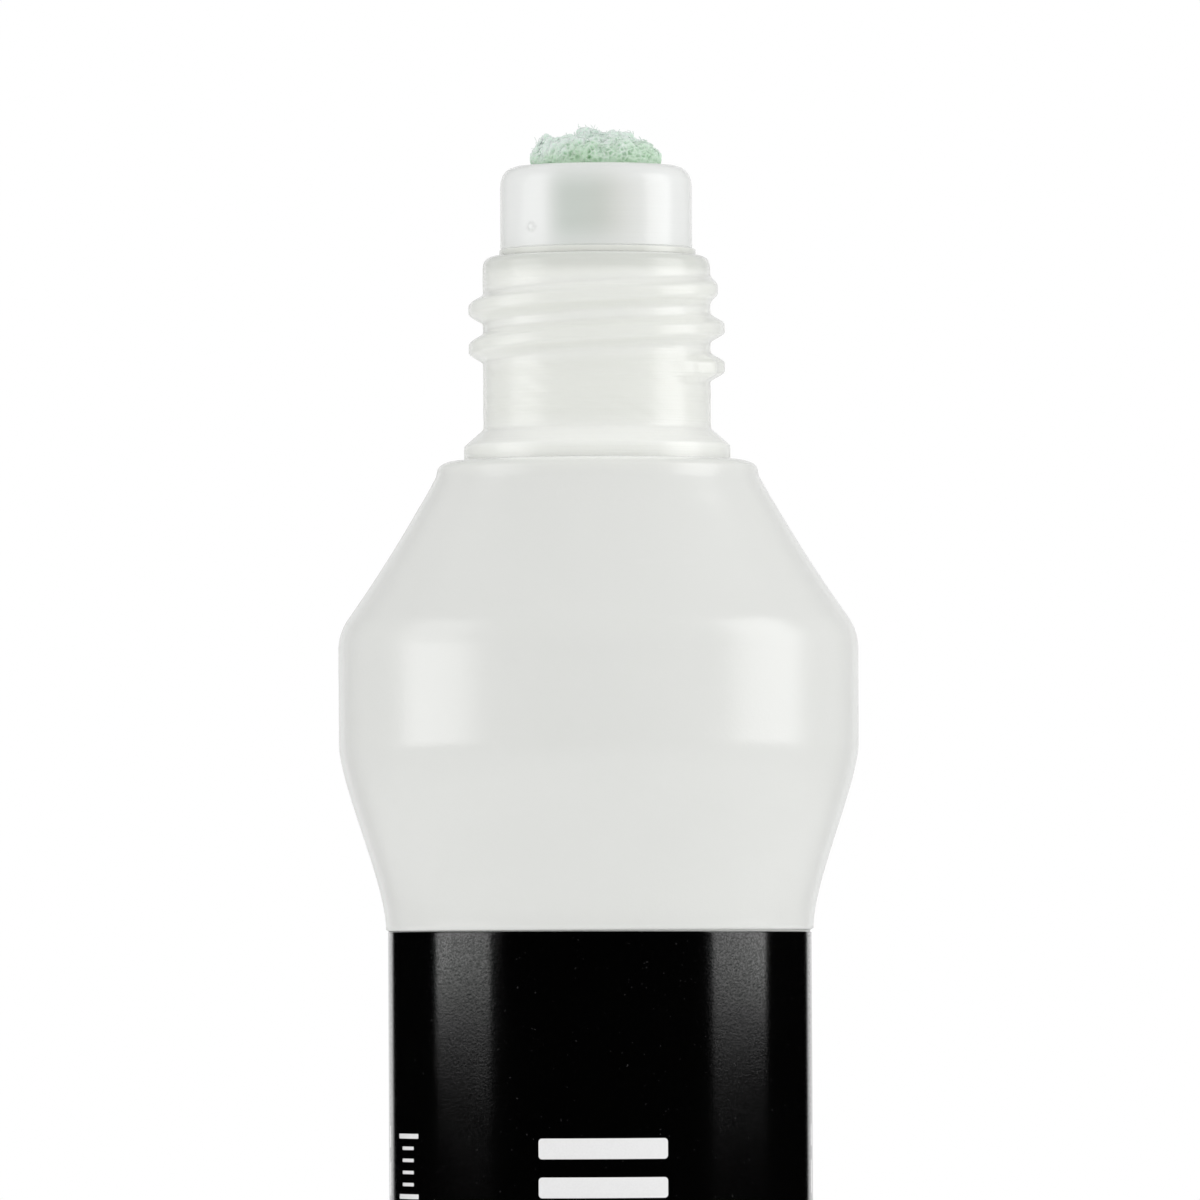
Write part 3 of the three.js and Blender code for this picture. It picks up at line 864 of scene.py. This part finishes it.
def make_foam_net():
    """Struts on the ties, membranes between the ends of two ties that share a point, and a few
    loose fibres that stand out of the surface."""
    points = net_points()
    first, second = net_ties(points)
    order = np.argsort(first, kind="stable")
    first, second = first[order], second[order]
    shares = np.nonzero(first[:-1] == first[1:])[0]
    shares = shares[rng.random(len(shares)) < KEEP_MEMBRANES]
    surface = crown_height(points[:, 0], points[:, 1])
    top = np.nonzero((surface - points[:, 2] < 0.2) & (surface > 1.2))[0]
    middle = top[(np.abs(points[top, 0] + 0.8) < 1.5) & (np.abs(points[top, 1]) < 2.6)]
    chosen = [rng.choice(pool, count, replace=False) for pool, count in ((top, 34), (middle, 26))]
    roots = points[np.concatenate(chosen)]
    lean = rng.normal(size=roots.shape) * (0.2, 0.2, 0.0)
    lean[:, 2] = rng.uniform(0.15, 0.6, len(roots))
    patches = [points[ends] for ends in (first[shares], second[shares], second[shares + 1])]
    vertices, faces = joined([
        strut_mesh(points[first], points[second], *STRUT),
        strut_mesh(roots, roots + lean, *FIBRE),
        membrane_mesh(*patches, MEMBRANE),
    ])
    vertices = within_lip(vertices)
    depth = crown_height(vertices[:, 0], vertices[:, 1]) - vertices[:, 2]
    vertices = (vertices + (0, 0, CUP_TOP / MM)) * MM
    thing = add_mesh("foam_net", vertices, faces, "foam", smooth=False)
    add_values(thing, "depth", np.clip(0.5 * depth / NET_DEPTH, 0, 0.5))
    print(len(points), "points,", len(first), "struts,", len(shares), "membranes")
    return thing


foam_net = make_foam_net()
report(foam_net)

# %% [markdown]
# When the tip is pressed on paper, its foot stays on the ribs and the foam between is squeezed. A
# piece that only moved would sink through the ribs. Here both foam pieces only get a mesh of their
# own.

# %% Give both foam pieces a mesh of their own
for foam in (foam_body, foam_net):
    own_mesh(foam)

# %% [markdown]
# ## The ball
#
# A loose steel ball lies inside on the floor, and stirs the ink when the marker is shaken. It is
# turned as the rest is, with many columns, because polished steel shows every flat in its outline.

# %% Build the ball
ball_low, ball_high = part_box("mixing_ball")
BALL_RADIUS = (ball_high.z - ball_low.z) / 2
BALL_CENTRE = (ball_high + ball_low) / 2


def make_ball():
    """A half circle of (r, z) points carried round, moved to the ball's centre."""
    a = np.linspace(-math.pi / 2, math.pi / 2, 41)
    arc = BALL_RADIUS * np.stack([np.cos(a), np.sin(a)], axis=1)
    vertices, faces = capped(turned(arc, even_angles(72)))
    thing = add_mesh("steel_ball", vertices + np.array(BALL_CENTRE), faces, "ball")
    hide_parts("mixing_ball")
    return thing


ball = make_ball()
report(ball)

# %% [markdown]
# ## Finishes
#
# Each material is a Principled shader fed by small procedural patterns. Patterns read Object
# coordinates, which are metres in this scene, so a texture scale of 1000 makes features about a
# millimetre wide. A finish is made here by code instead of by hand, so the helpers below name the
# few kinds of node that it takes.

# %% Node helpers
def fill(tree, node, values):
    """Sets a node's inputs, by name or number, to values, or links them to sockets."""
    for key, value in values.items():
        if isinstance(value, bpy.types.NodeSocket):
            tree.links.new(value, node.inputs[key])
        else:
            node.inputs[key].default_value = value


def add_node(tree, kind, inputs=None, **settings):
    """A node with its settings and its inputs."""
    made = tree.nodes.new(kind)
    for name, value in settings.items():
        setattr(made, name, value)
    fill(tree, made, inputs or {})
    return made


def maths(tree, operation, a, b=0.0, clamp=False):
    """The result of one calculation on numbers or sockets."""
    made = add_node(tree, "ShaderNodeMath", {0: a, 1: b}, operation=operation, use_clamp=clamp)
    return made.outputs[0]


def product(tree, first, *others):
    """Numbers and sockets multiplied together."""
    for other in others:
        first = maths(tree, "MULTIPLY", first, other)
    return first


def total(tree, first, *others):
    """Numbers and sockets added up."""
    for other in others:
        first = maths(tree, "ADD", first, other)
    return first


def between(tree, value, low, high, out_low=0.0, out_high=1.0, smooth=False):
    """A value carried from the range low to high into another range, clamped."""
    made = add_node(
        tree, "ShaderNodeMapRange",
        {"Value": value, "From Min": low, "From Max": high, "To Min": out_low, "To Max": out_high},
        interpolation_type="SMOOTHSTEP" if smooth else "LINEAR",
    )
    return made.outputs[0]


def mixed(tree, factor, a, b):
    """A colour between a and b. The colour inputs of a Mix node are its numbers 6 and 7."""
    made = add_node(tree, "ShaderNodeMix", {0: factor, 6: a, 7: b}, data_type="RGBA")
    return made.outputs[2]


def position(tree):
    """The Object coordinates."""
    return add_node(tree, "ShaderNodeTexCoord").outputs["Object"]


def split(tree, vector):
    """The three parts of a vector."""
    return add_node(tree, "ShaderNodeSeparateXYZ", {0: vector}).outputs


def noise(tree, here, scale, detail=2.0, stretch=None, distortion=0.0):
    """Noise between 0 and 1, its pattern stretched by a scale for each axis."""
    if stretch is not None:
        here = add_node(tree, "ShaderNodeMapping", {"Vector": here, "Scale": stretch}).outputs[0]
    inputs = {"Vector": here, "Scale": scale, "Detail": detail, "Distortion": distortion}
    return add_node(tree, "ShaderNodeTexNoise", inputs).outputs["Fac"]


def mesh_value(tree, name):
    """The number that add_values stored in the mesh under a name."""
    return add_node(tree, "ShaderNodeAttribute", attribute_name=name).outputs["Fac"]


def bumped(tree, height, strength, distance=0.02 * MM):
    """A normal tilted by the slope of a height."""
    inputs = {"Strength": strength, "Distance": distance, "Height": height}
    return add_node(tree, "ShaderNodeBump", inputs).outputs[0]


def new_group(name, inputs, outputs):
    """An empty node group with float sockets, its inner inputs, and the node that takes its
    results."""
    tree = bpy.data.node_groups.new(name, "ShaderNodeTree")
    for socket, value in inputs.items():
        made = tree.interface.new_socket(socket, in_out="INPUT", socket_type="NodeSocketFloat")
        made.default_value = value
    for socket in outputs:
        tree.interface.new_socket(socket, in_out="OUTPUT", socket_type="NodeSocketFloat")
    return tree, tree.nodes.new("NodeGroupInput").outputs, tree.nodes.new("NodeGroupOutput")


def use_group(tree, group, inputs):
    """A group placed in a material, with its values there."""
    return add_node(tree, "ShaderNodeGroup", inputs, node_tree=group).outputs


def new_material(name):
    """A material with an empty Principled shader."""
    material = bpy.data.materials.new(name)
    material.use_nodes = True
    tree = material.node_tree
    return material, tree, tree.nodes["Principled BSDF"]


# %% [markdown]
# Two effects serve more than one material, so they are node groups, built once and placed with
# other values in each material: a fine grain, and faint scuffs from handling.

# %% Shared effects
def make_grain_group():
    """Grain: fine noise and a finer one over it. Cloud: slow noise that varies the gloss."""
    scales = {"Grain Scale": 3000, "Cloud Scale": 90}
    tree, given, results = new_group("fine_grain", scales, ("Height", "Cloud"))
    here = position(tree)
    coarse = noise(tree, here, given["Grain Scale"])
    fine = noise(tree, here, product(tree, given["Grain Scale"], 2.7))
    fill(tree, results, {
        "Height": total(tree, product(tree, coarse, 0.65), product(tree, fine, 0.35)),
        "Cloud": noise(tree, here, given["Cloud Scale"], 4, distortion=0.6),
    })
    return tree


def make_scuff_group():
    """Scuffs: thin bright lines where a stretched noise crosses its middle value, broken up by a
    slow noise so that they come in patches."""
    tree, given, results = new_group("faint_scuffs", {"Scale": 60, "Amount": 0.5}, ("Scuffs",))
    here = position(tree)
    lines = noise(tree, here, given["Scale"], 3, stretch=(1.0, 1.0, 5.5), distortion=1.4)
    from_middle = maths(tree, "ABSOLUTE", maths(tree, "SUBTRACT", lines, 0.5))
    thin = between(tree, from_middle, 0.0, 0.006, 1.0, 0.0)
    patches = between(tree, noise(tree, here, 45), 0.52, 0.68)
    fill(tree, results, {"Scuffs": product(tree, thin, patches, given["Amount"])})
    return tree


fine_grain = make_grain_group()
faint_scuffs = make_scuff_group()
for group in (fine_grain, faint_scuffs):
    print("group", group.name, "with", len(group.nodes), "nodes")

# %% [markdown]
# Bottle and holder are both natural polyethylene. Light enters it and comes out a millimetre or
# two away, which softens every shadow. Full transmission would show that, but takes many samples
# to come out clean, so both shaders get some subsurface light and a weak sheen instead. Seen along
# its surface such a wall looks whiter. Both get that as a painted glow near the outline, and as
# painted shade on the outline itself.

# %% What the two plastics share
SOFT_PLASTIC = {
    "Subsurface Scale": 0.8 * MM, "IOR": 1.52, "Sheen Weight": 0.35, "Sheen Roughness": 0.5,
}
# Painted glow near a wall's outline, and painted shade on the outline itself.
PAINTED_LIMB_GLOW = (0.90, 0.91, 0.88, 1)
PAINTED_LIMB_SHADE = (0.50, 0.51, 0.49, 1)
print("light goes", round(SOFT_PLASTIC["Subsurface Scale"] / MM, 2), "mm into the plastic")


def painted_limb_light(tree, colour):
    """Painted light and shade by the facing angle. A wall seen nearly edge-on is looked through
    lengthwise, so a glow is painted whiter near the outline, and shade is painted darker on the
    outline itself, where less light comes back."""
    edge = add_node(tree, "ShaderNodeLayerWeight", {"Blend": 0.5}).outputs["Facing"]
    near = between(tree, edge, 0.45, 0.64, 0.0, 0.18, smooth=True)
    # Painted glow near the outline, then painted shade on the outline.
    colour = mixed(tree, near, colour, PAINTED_LIMB_GLOW)
    return mixed(tree, between(tree, edge, 0.76, 0.9, 0.0, 0.7), colour, PAINTED_LIMB_SHADE)


def wear(thing, material):
    """Gives a piece its material."""
    thing.data.materials.clear()
    thing.data.materials.append(material)
    print(thing.name, "wears", material.name, "with", len(material.node_tree.nodes), "nodes")


# %% [markdown]
# The bottle is milky and satin, with a fine stipple from the mould. Its neck was formed in a
# lathe-turned mould and keeps fine rings. The thick plastic of the neck and collar is whiter than
# the thin wall. Light that comes in from both sides of the thread's grooves is painted in as a
# whiter glow there, and a little less on the collar. The neck's top band is painted darker as
# shade. Heights choose the zones. The grooves follow the helix, so they come from the value in the
# mesh.

# %% Bottle material
THIN_WALL = (0.735, 0.745, 0.72, 1), (0.775, 0.78, 0.758, 1)
THICK_WALL = (0.79, 0.803, 0.762, 1), (0.825, 0.835, 0.79, 1)
# Painted light: the thread's grooves and the collar are painted whiter, as if lit through.
PAINTED_NECK_GLOW = (0.90, 0.91, 0.875, 1)
# Painted shade: the neck's top band, under the rim, is painted darker.
PAINTED_RIM_SHADE = (0.675, 0.69, 0.648, 1)
BOTTLE_WORN = (0.86, 0.86, 0.85, 1)


def make_bottle_plastic():
    """Slow clouds in colour and gloss, and zones of tone by height. A glow is painted in the
    grooves by the stored `hollow` and on the collar, and shade is painted on the neck's top band.
    Stipple and neck rings go in the bump."""
    material, tree, shader = new_material("milky_plastic")
    here = position(tree)
    z = split(tree, here)["Z"]
    grain = use_group(tree, fine_grain, {"Grain Scale": 2600, "Cloud Scale": 70})
    scuffs = use_group(tree, faint_scuffs, {"Scale": 55, "Amount": 0.2})["Scuffs"]
    neck = between(tree, z, 121.5 * MM, 124.5 * MM, smooth=True)
    rim = between(tree, z, 138.6 * MM, 139.6 * MM, smooth=True)
    over_land = between(tree, z, 122.9 * MM, 123.3 * MM)
    collar = product(tree, over_land, between(tree, z, 127.2 * MM, 125.6 * MM, smooth=True))
    groove = product(tree, mesh_value(tree, "hollow"), 1.2)
    # Painted light: a glow in the grooves, and a little less on the collar.
    painted_glow = maths(tree, "MAXIMUM", groove, product(tree, collar, 0.8), clamp=True)
    thick = mixed(tree, painted_glow, mixed(tree, grain["Cloud"], *THICK_WALL), PAINTED_NECK_GLOW)
    # Painted shade on the neck's top band.
    thick = mixed(tree, rim, thick, PAINTED_RIM_SHADE)
    colour = mixed(tree, neck, mixed(tree, grain["Cloud"], *THIN_WALL), thick)
    colour = mixed(tree, product(tree, scuffs, 0.5), colour, BOTTLE_WORN)
    gloss = between(tree, grain["Cloud"], 0.3, 0.7, 0.235, 0.255)
    rings = noise(tree, here, 1, stretch=(40, 40, 4200))
    fill(tree, shader, SOFT_PLASTIC | {
        "Base Color": painted_limb_light(tree, colour),
        "Roughness": total(tree, gloss, product(tree, scuffs, 0.04)),
        "Normal": bumped(tree, total(tree, grain["Height"], product(tree, rings, neck, 3.0)), 0.7),
        "Subsurface Weight": 0.2,
        "Subsurface Radius": (1.0, 1.0, 0.95),
    })
    return material


bottle_plastic = make_bottle_plastic()
wear(bottle, bottle_plastic)
wear(pinch_seam, bottle_plastic)

# %% [markdown]
# The holder is smoother, with the mould's faint turning rings. Where the foam presses against the
# cup's wall from inside, it shows through darker. The foam seen through the wall and its shade are
# painted into the colour as three soft patches round the cup: the sine of three times the angle,
# skewed, within a band of height.

# %% Holder material
CUP_PLASTIC = (0.80, 0.812, 0.80, 1), (0.84, 0.852, 0.84, 1)
# The foam seen through the cup's wall, painted in as its shade.
PAINTED_FOAM_SHADE = (0.615, 0.625, 0.58, 1), (0.60, 0.64, 0.60, 1)
FLANGE_TONE = (0.775, 0.788, 0.74, 1)
HOLDER_WORN = (0.88, 0.88, 0.87, 1)
PATCHES = 3.0


def make_holder_plastic():
    """Clouds in colour, the foam's painted shade, a darker thin flange, and rings in the bump."""
    material, tree, shader = new_material("holder_plastic")
    here = position(tree)
    x, y, z = split(tree, here)
    grain = use_group(tree, fine_grain, {"Grain Scale": 3200, "Cloud Scale": 150})
    scuffs = use_group(tree, faint_scuffs, {"Scale": 90, "Amount": 0.15})["Scuffs"]
    around = product(tree, maths(tree, "ARCTAN2", y, x), PATCHES)
    skew = product(tree, maths(tree, "SINE", product(tree, around, 2.0)), 0.35)
    soft = total(tree, maths(tree, "SINE", around), skew, product(tree, grain["Cloud"], 0.3))
    bottom = between(tree, z, 140.3 * MM, 143.2 * MM, smooth=True)
    top = between(tree, z, 148.0 * MM, 145.2 * MM, smooth=True)
    band = total(tree, product(tree, bottom, top, 0.72), 0.28)
    # Where the foam's shade is painted: three patches round the cup, in a band of height.
    shown = product(tree, between(tree, soft, -0.4, 1.3, smooth=True), band)
    greener = between(tree, maths(tree, "SINE", total(tree, around, 0.9)), -0.2, 1.0)
    plain = mixed(tree, grain["Cloud"], *CUP_PLASTIC)
    colour = mixed(tree, shown, plain, mixed(tree, greener, *PAINTED_FOAM_SHADE))
    flange = between(tree, z, SEAT + 0.52 * MM, SEAT + 0.58 * MM, 1.0, 0.0)
    colour = mixed(tree, flange, colour, FLANGE_TONE)
    colour = mixed(tree, scuffs, colour, HOLDER_WORN)
    rings = noise(tree, here, 1, stretch=(60, 60, 2600))
    height = total(tree, product(tree, grain["Height"], 0.6), product(tree, rings, 2.4))
    fill(tree, shader, SOFT_PLASTIC | {
        "Base Color": painted_limb_light(tree, colour),
        "Roughness": 0.23,
        "Normal": bumped(tree, height, 0.4),
        "Subsurface Weight": 0.25,
        "Subsurface Radius": (1.0, 1.0, 1.0),
    })
    return material


wear(holder, make_holder_plastic())

# %% [markdown]
# The foam is mint green, greener low down and paler towards its top and its left side. Shade
# inside the cells is painted: they are darker by the stored `depth`. Light goes some way into the
# body, but the net's struts are too thin for that, so each foam piece has a material of its own.

# %% Foam material
SKIN = (0.50, 0.68, 0.50, 1), (0.70, 0.785, 0.735, 1)
# Painted shade inside the foam's cells.
PAINTED_CELL_SHADE = (0.32, 0.55, 0.32, 1), (0.53, 0.68, 0.56, 1)


def make_foam_material(name, through):
    """Green to pale by height, by how far to the left, and by slow noise. Shade is painted darker
    into the cells by the stored depth, and a fine bump is added.
    """
    material, tree, shader = new_material(name)
    here = position(tree)
    x, _, z = split(tree, here)
    high = between(tree, z, CUP_TOP, CUP_TOP + 2.6 * MM)
    left = between(tree, x, -1.5 * MM, -4.5 * MM, 0.0, 0.4)
    patches = product(tree, noise(tree, here, 700), 1.2)
    pale = between(tree, total(tree, high, left, patches), 0.6, 1.5)
    # Painted shade: the colour goes darker inside the cells by the stored depth.
    inside = mixed(tree, pale, *PAINTED_CELL_SHADE)
    colour = mixed(tree, mesh_value(tree, "depth"), mixed(tree, pale, *SKIN), inside)
    fill(tree, shader, {
        "Base Color": colour,
        "Roughness": 0.55,
        "Normal": bumped(tree, noise(tree, here, 9000), 0.5, 0.03 * MM),
        "Subsurface Weight": through,
        "Subsurface Radius": (0.8, 1.0, 0.85),
        "Subsurface Scale": 0.6 * MM,
    })
    return material


wear(foam_net, make_foam_material("mint_foam_net", 0.0))
wear(foam_body, make_foam_material("mint_foam", 0.6))


# %% [markdown]
# The ball is polished steel, rubbed by rolling in the bottle. A metal takes all its looks from what
# it mirrors, so only its gloss varies, in faint patches.

# %% Ball material
def make_steel():
    """Polished steel with faint rubbed patches."""
    material, tree, shader = new_material("ball_steel")
    grain = use_group(tree, fine_grain, {"Grain Scale": 2500, "Cloud Scale": 400})
    fill(tree, shader, {
        "Base Color": (0.62, 0.63, 0.65, 1),
        "Metallic": 1,
        "Roughness": between(tree, grain["Cloud"], 0.3, 0.7, 0.12, 0.2),
    })
    return material


wear(ball, make_steel())

# %% [markdown]
# The label is black film with white print: a ladder of bars down the front, a scale of ticks on
# the left, and dashed hairlines towards the back. Print has no thickness, so it isn't modelled but
# drawn in the shader, where it stays sharp at any size. u runs round the film in mm from the
# front, and v runs up in mm from the ground, so each mark is a distance in (u, v) turned into a
# mask.

# %% The label's print
BAR_ROWS = [
    # middle u, top v, pitch, number of bars, half width, half height, corner, in mm
    (0.2, 66.2, 3.2, 15, 5.4, 0.85, 0.3),
    (-20.0, 67.2, 1.0, 51, 1.1, 0.14, 0.05),
    (-20.0, 67.2, 5.0, 11, 1.9, 0.2, 0.05),
]
BAR_EDGE = 0.015
HAIRLINE_GAP = 2.3
HAIRLINE_HALF = 0.06, 0.085
HAIRLINE_ANGLES = 1.4, 2.45
HAIRLINE_TOP = 68.0
HAIRLINE_ENDS = 22.0, 38.0


def box_mask(tree, across, along, half_across, half_along, corner):
    """1 inside a rounded rectangle: the distance is |max(|p| - (half - corner), 0)| - corner."""
    squares = []
    for value, half in ((across, half_across), (along, half_along)):
        over = maths(tree, "SUBTRACT", maths(tree, "ABSOLUTE", value), half - corner)
        over = maths(tree, "MAXIMUM", over, 0.0)
        squares.append(product(tree, over, over))
    reach = maths(tree, "SQRT", total(tree, *squares))
    return between(tree, reach, corner - BAR_EDGE, corner + BAR_EDGE, 1.0, 0.0)


def from_nearest(tree, value, top, pitch, count):
    """Distance from a height to the nearest of `count` places from the top down, pitch apart."""
    steps = maths(tree, "DIVIDE", maths(tree, "SUBTRACT", top, value), pitch)
    nearest = maths(tree, "MAXIMUM", maths(tree, "ROUND", steps), 0.0)
    nearest = maths(tree, "MINIMUM", nearest, count - 1.0)
    return product(tree, maths(tree, "SUBTRACT", steps, nearest), pitch)


def hairlines(tree, angle, u, v):
    """Upright lines a fixed gap apart. Noise of a line's number and the height breaks it into
    dashes, and noise of its number alone says where it ends below."""
    line = maths(tree, "DIVIDE", maths(tree, "ABSOLUTE", u), HAIRLINE_GAP)
    number = maths(tree, "ROUND", line)
    from_line = maths(tree, "ABSOLUTE", maths(tree, "SUBTRACT", line, number))
    thin = between(tree, from_line, *HAIRLINE_HALF, 1.0, 0.0)
    where = add_node(tree, "ShaderNodeCombineXYZ", {0: product(tree, number, 5.3), 1: v})
    dashes = between(tree, noise(tree, where.outputs[0], 0.45, 0), 0.4, 0.41)
    which = add_node(tree, "ShaderNodeCombineXYZ", {0: product(tree, number, 3.7)})
    end = between(tree, noise(tree, which.outputs[0], 1.0, 0), 0.3, 0.7, *HAIRLINE_ENDS)
    turn = maths(tree, "ABSOLUTE", angle)
    first, last = HAIRLINE_ANGLES
    behind_front = between(tree, turn, first, first + 0.002)
    before_back = between(tree, turn, last, last + 0.002, 1.0, 0.0)
    over = maths(tree, "GREATER_THAN", v, end)
    under = maths(tree, "LESS_THAN", v, HAIRLINE_TOP)
    return product(tree, thin, dashes, behind_front, before_back, over, under)


def label_print(tree, here):
    """The mask of all print: the largest of the bars' masks and the hairlines'."""
    x, y, z = split(tree, here)
    angle = maths(tree, "ARCTAN2", x, product(tree, y, -1.0))
    u = product(tree, angle, LABEL_RADIUS / MM)
    v = product(tree, z, 1 / MM)
    marks = hairlines(tree, angle, u, v)
    for middle, top, pitch, count, *size in BAR_ROWS:
        across = maths(tree, "SUBTRACT", u, middle)
        bars = box_mask(tree, across, from_nearest(tree, v, top, pitch, count), *size)
        marks = maths(tree, "MAXIMUM", marks, bars)
    return marks


# %% [markdown]
# The film itself is nearly black and softly glossy. Its grain is too fine to see as bumps, but it
# breaks up a highlight into specks, so noise about as fine also varies the clear coat.

# %% Label material
FILM_BLACK = (0.0004, 0.0004, 0.0004, 1)
DUST = (0.8, 0.8, 0.8, 1)
PRINT_WHITE = (0.86, 0.86, 0.86, 1)


def make_label_black():
    """Black film with its print, a few specks of dust, a fine grain in the bump, and a clear coat
    that the grain breaks up."""
    material, tree, shader = new_material("black_film")
    here = position(tree)
    grain = use_group(tree, fine_grain, {"Grain Scale": 5200, "Cloud Scale": 120})
    dust = between(tree, noise(tree, here, 4200, 1), 0.74, 0.8, 0.0, 0.04)
    film = mixed(tree, dust, FILM_BLACK, DUST)
    fill(tree, shader, {
        "Base Color": mixed(tree, label_print(tree, here), film, PRINT_WHITE),
        "Roughness": between(tree, grain["Cloud"], 0.3, 0.7, 0.08, 0.11),
        "Coat Weight": between(tree, noise(tree, here, 6200), 0.42, 0.6, 0.0, 0.58),
        "Coat Roughness": 0.1,
        "Normal": bumped(tree, grain["Height"], 0.35),
        "IOR": 1.42,
    })
    return material


wear(label, make_label_black())

# %% [markdown]
# ## Light
#
# Tall softboxes stand close to the marker, left and right of the camera, and give the pairs of
# upright highlights. Each side has three, one over the other, because label, bulge and neck don't
# shine alike in the photograph. Everything else is even light from the world, which gives the soft
# shading of a white tent without the noise of large lamps. The camera sees a white background.
# Mirror-like reflections see a white strip behind the marker and a dark room in front.

# %% Lamps and world
SOFTBOX_DISTANCE = 0.28
SOFTBOX_WIDTH = 0.19
SOFTBOXES = [
    # name, azimuth in degrees, radiance, lower and upper edge in mm
    ("softbox_left_low", -79, 2.9, 78.7, 96), ("softbox_right_low", 81, 2.85, 78.7, 96),
    ("softbox_left", -73, 3.7, 96, 121), ("softbox_right", 77, 2.65, 96, 121),
    ("softbox_left_top", -79, 1.25, 121, 360), ("softbox_right_top", 81, 2.3, 121, 360),
]
BLACK = (0, 0, 0, 1)
WHITE = (1, 1, 1, 1)
ROOM = (0.93, 0.93, 0.93, 1), (1.93, 1.93, 1.93, 1)


def add_softbox(name, azimuth, radiance, low, high):
    """An upright area lamp beside the marker, turned towards it. An area lamp's power is its
    radiance times pi times its area."""
    data = bpy.data.lights.new(name, "AREA")
    data.shape = "RECTANGLE"
    data.size = SOFTBOX_WIDTH
    data.size_y = high - low
    data.energy = radiance * math.pi * SOFTBOX_WIDTH * (high - low)
    lamp = bpy.data.objects.new(name, data)
    x, y = SOFTBOX_DISTANCE * math.sin(azimuth), -SOFTBOX_DISTANCE * math.cos(azimuth)
    lamp.location = (x, y, (low + high) / 2)
    lamp.rotation_euler = (math.pi / 2, 0, azimuth)
    lamp.visible_camera = False
    lamp.visible_diffuse = False
    bpy.context.collection.objects.link(lamp)


def make_world():
    """Camera rays see white. Glossy rays see white only near straight behind the marker. All
    other rays see the room, which is brighter towards both sides, a little more so on the right,
    and dimmer high up on the left."""
    world = bpy.data.worlds.new("studio")
    world.use_nodes = True
    bpy.context.scene.world = world
    tree = world.node_tree
    tree.nodes.clear()
    ray = add_node(tree, "ShaderNodeLightPath").outputs
    x, y, z = split(tree, add_node(tree, "ShaderNodeTexCoord").outputs["Generated"])
    behind = between(tree, y, 0.895, 0.92, smooth=True)
    sides = total(tree, product(tree, x, x, 0.4), product(tree, x, 0.08))
    leftward = maths(tree, "MINIMUM", x, 0.0)
    high_left = product(tree, leftward, maths(tree, "SUBTRACT", z, 0.12), 0.42)
    room = mixed(tree, total(tree, sides, high_left), *ROOM)
    glossy = maths(tree, "MAXIMUM", ray["Is Glossy Ray"], ray["Is Transmission Ray"])
    seen = mixed(tree, glossy, room, mixed(tree, behind, BLACK, WHITE))
    seen = mixed(tree, ray["Is Camera Ray"], seen, WHITE)
    background = add_node(tree, "ShaderNodeBackground", {"Color": seen, "Strength": 1.0})
    add_node(tree, "ShaderNodeOutputWorld", {0: background.outputs[0]})


for name, azimuth, radiance, low, high in SOFTBOXES:
    add_softbox(name, math.radians(azimuth), radiance, low * MM, high * MM)
make_world()
print("lamps, W:", [round(lamp.energy, 3) for lamp in bpy.data.lights])

# %% [markdown]
# The floor is a pale disc that the marker casts its soft shadow on. A square plane would show its
# far edge as a line. The disc fades to clear before its edge, so that no edge shows against the
# white background.

# %% Floor
FLOOR_RADIUS = 0.6
FLOOR_DROP = 0.05 * MM
FADE_FROM, FADE_TO = 0.12, 0.58
FLOOR_PALE = (0.93, 0.93, 0.93, 1)


def make_floor():
    """Rings of squares round a fan of triangles, and a clearness that is a smooth step of the
    distance from the axis."""
    angles = even_angles(96)
    radii = np.linspace(0, FLOOR_RADIUS, 13)
    grid = turned(np.stack([radii, np.full(13, -FLOOR_DROP)], axis=1), angles)
    rows, columns = grid.shape[:2]
    vertices = np.concatenate([grid[:1, 0], grid[1:].reshape(-1, 3)])
    column = np.arange(columns)
    fan = np.stack([np.zeros(columns, int), 1 + column, 1 + (column + 1) % columns], axis=1)
    quads = 1 + grid_faces(rows - 1, columns, False)[:, ::-1]
    mesh = bpy.data.meshes.new("floor")
    mesh.from_pydata(vertices.tolist(), [], fan.tolist() + quads.tolist())
    floor = bpy.data.objects.new("floor", mesh)
    bpy.context.collection.objects.link(floor)
    floor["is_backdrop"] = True
    material, tree, shader = new_material("pale_floor")
    x, y, _ = split(tree, position(tree))
    reach = maths(tree, "SQRT", total(tree, product(tree, x, x), product(tree, y, y)))
    fill(tree, shader, {
        "Base Color": FLOOR_PALE,
        "Roughness": 0.7,
        "Specular IOR Level": 0.2,
        "Alpha": between(tree, reach, FADE_FROM, FADE_TO, 1.0, 0.0, smooth=True),
    })
    mesh.materials.append(material)
    print("floor, mm across:", round(2 * FLOOR_RADIUS / MM))


make_floor()

# %% [markdown]
# ## Sizes at the end
#
# The surfaces made here may differ from the CAD solids, but not in reach. The last line prints the
# size of the box round all visible surfaces.

# %% Print the size of the visible surfaces
low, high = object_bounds()
print("visual box, mm:", [round(1000 * (b - a), 2) for a, b in zip(low, high)])
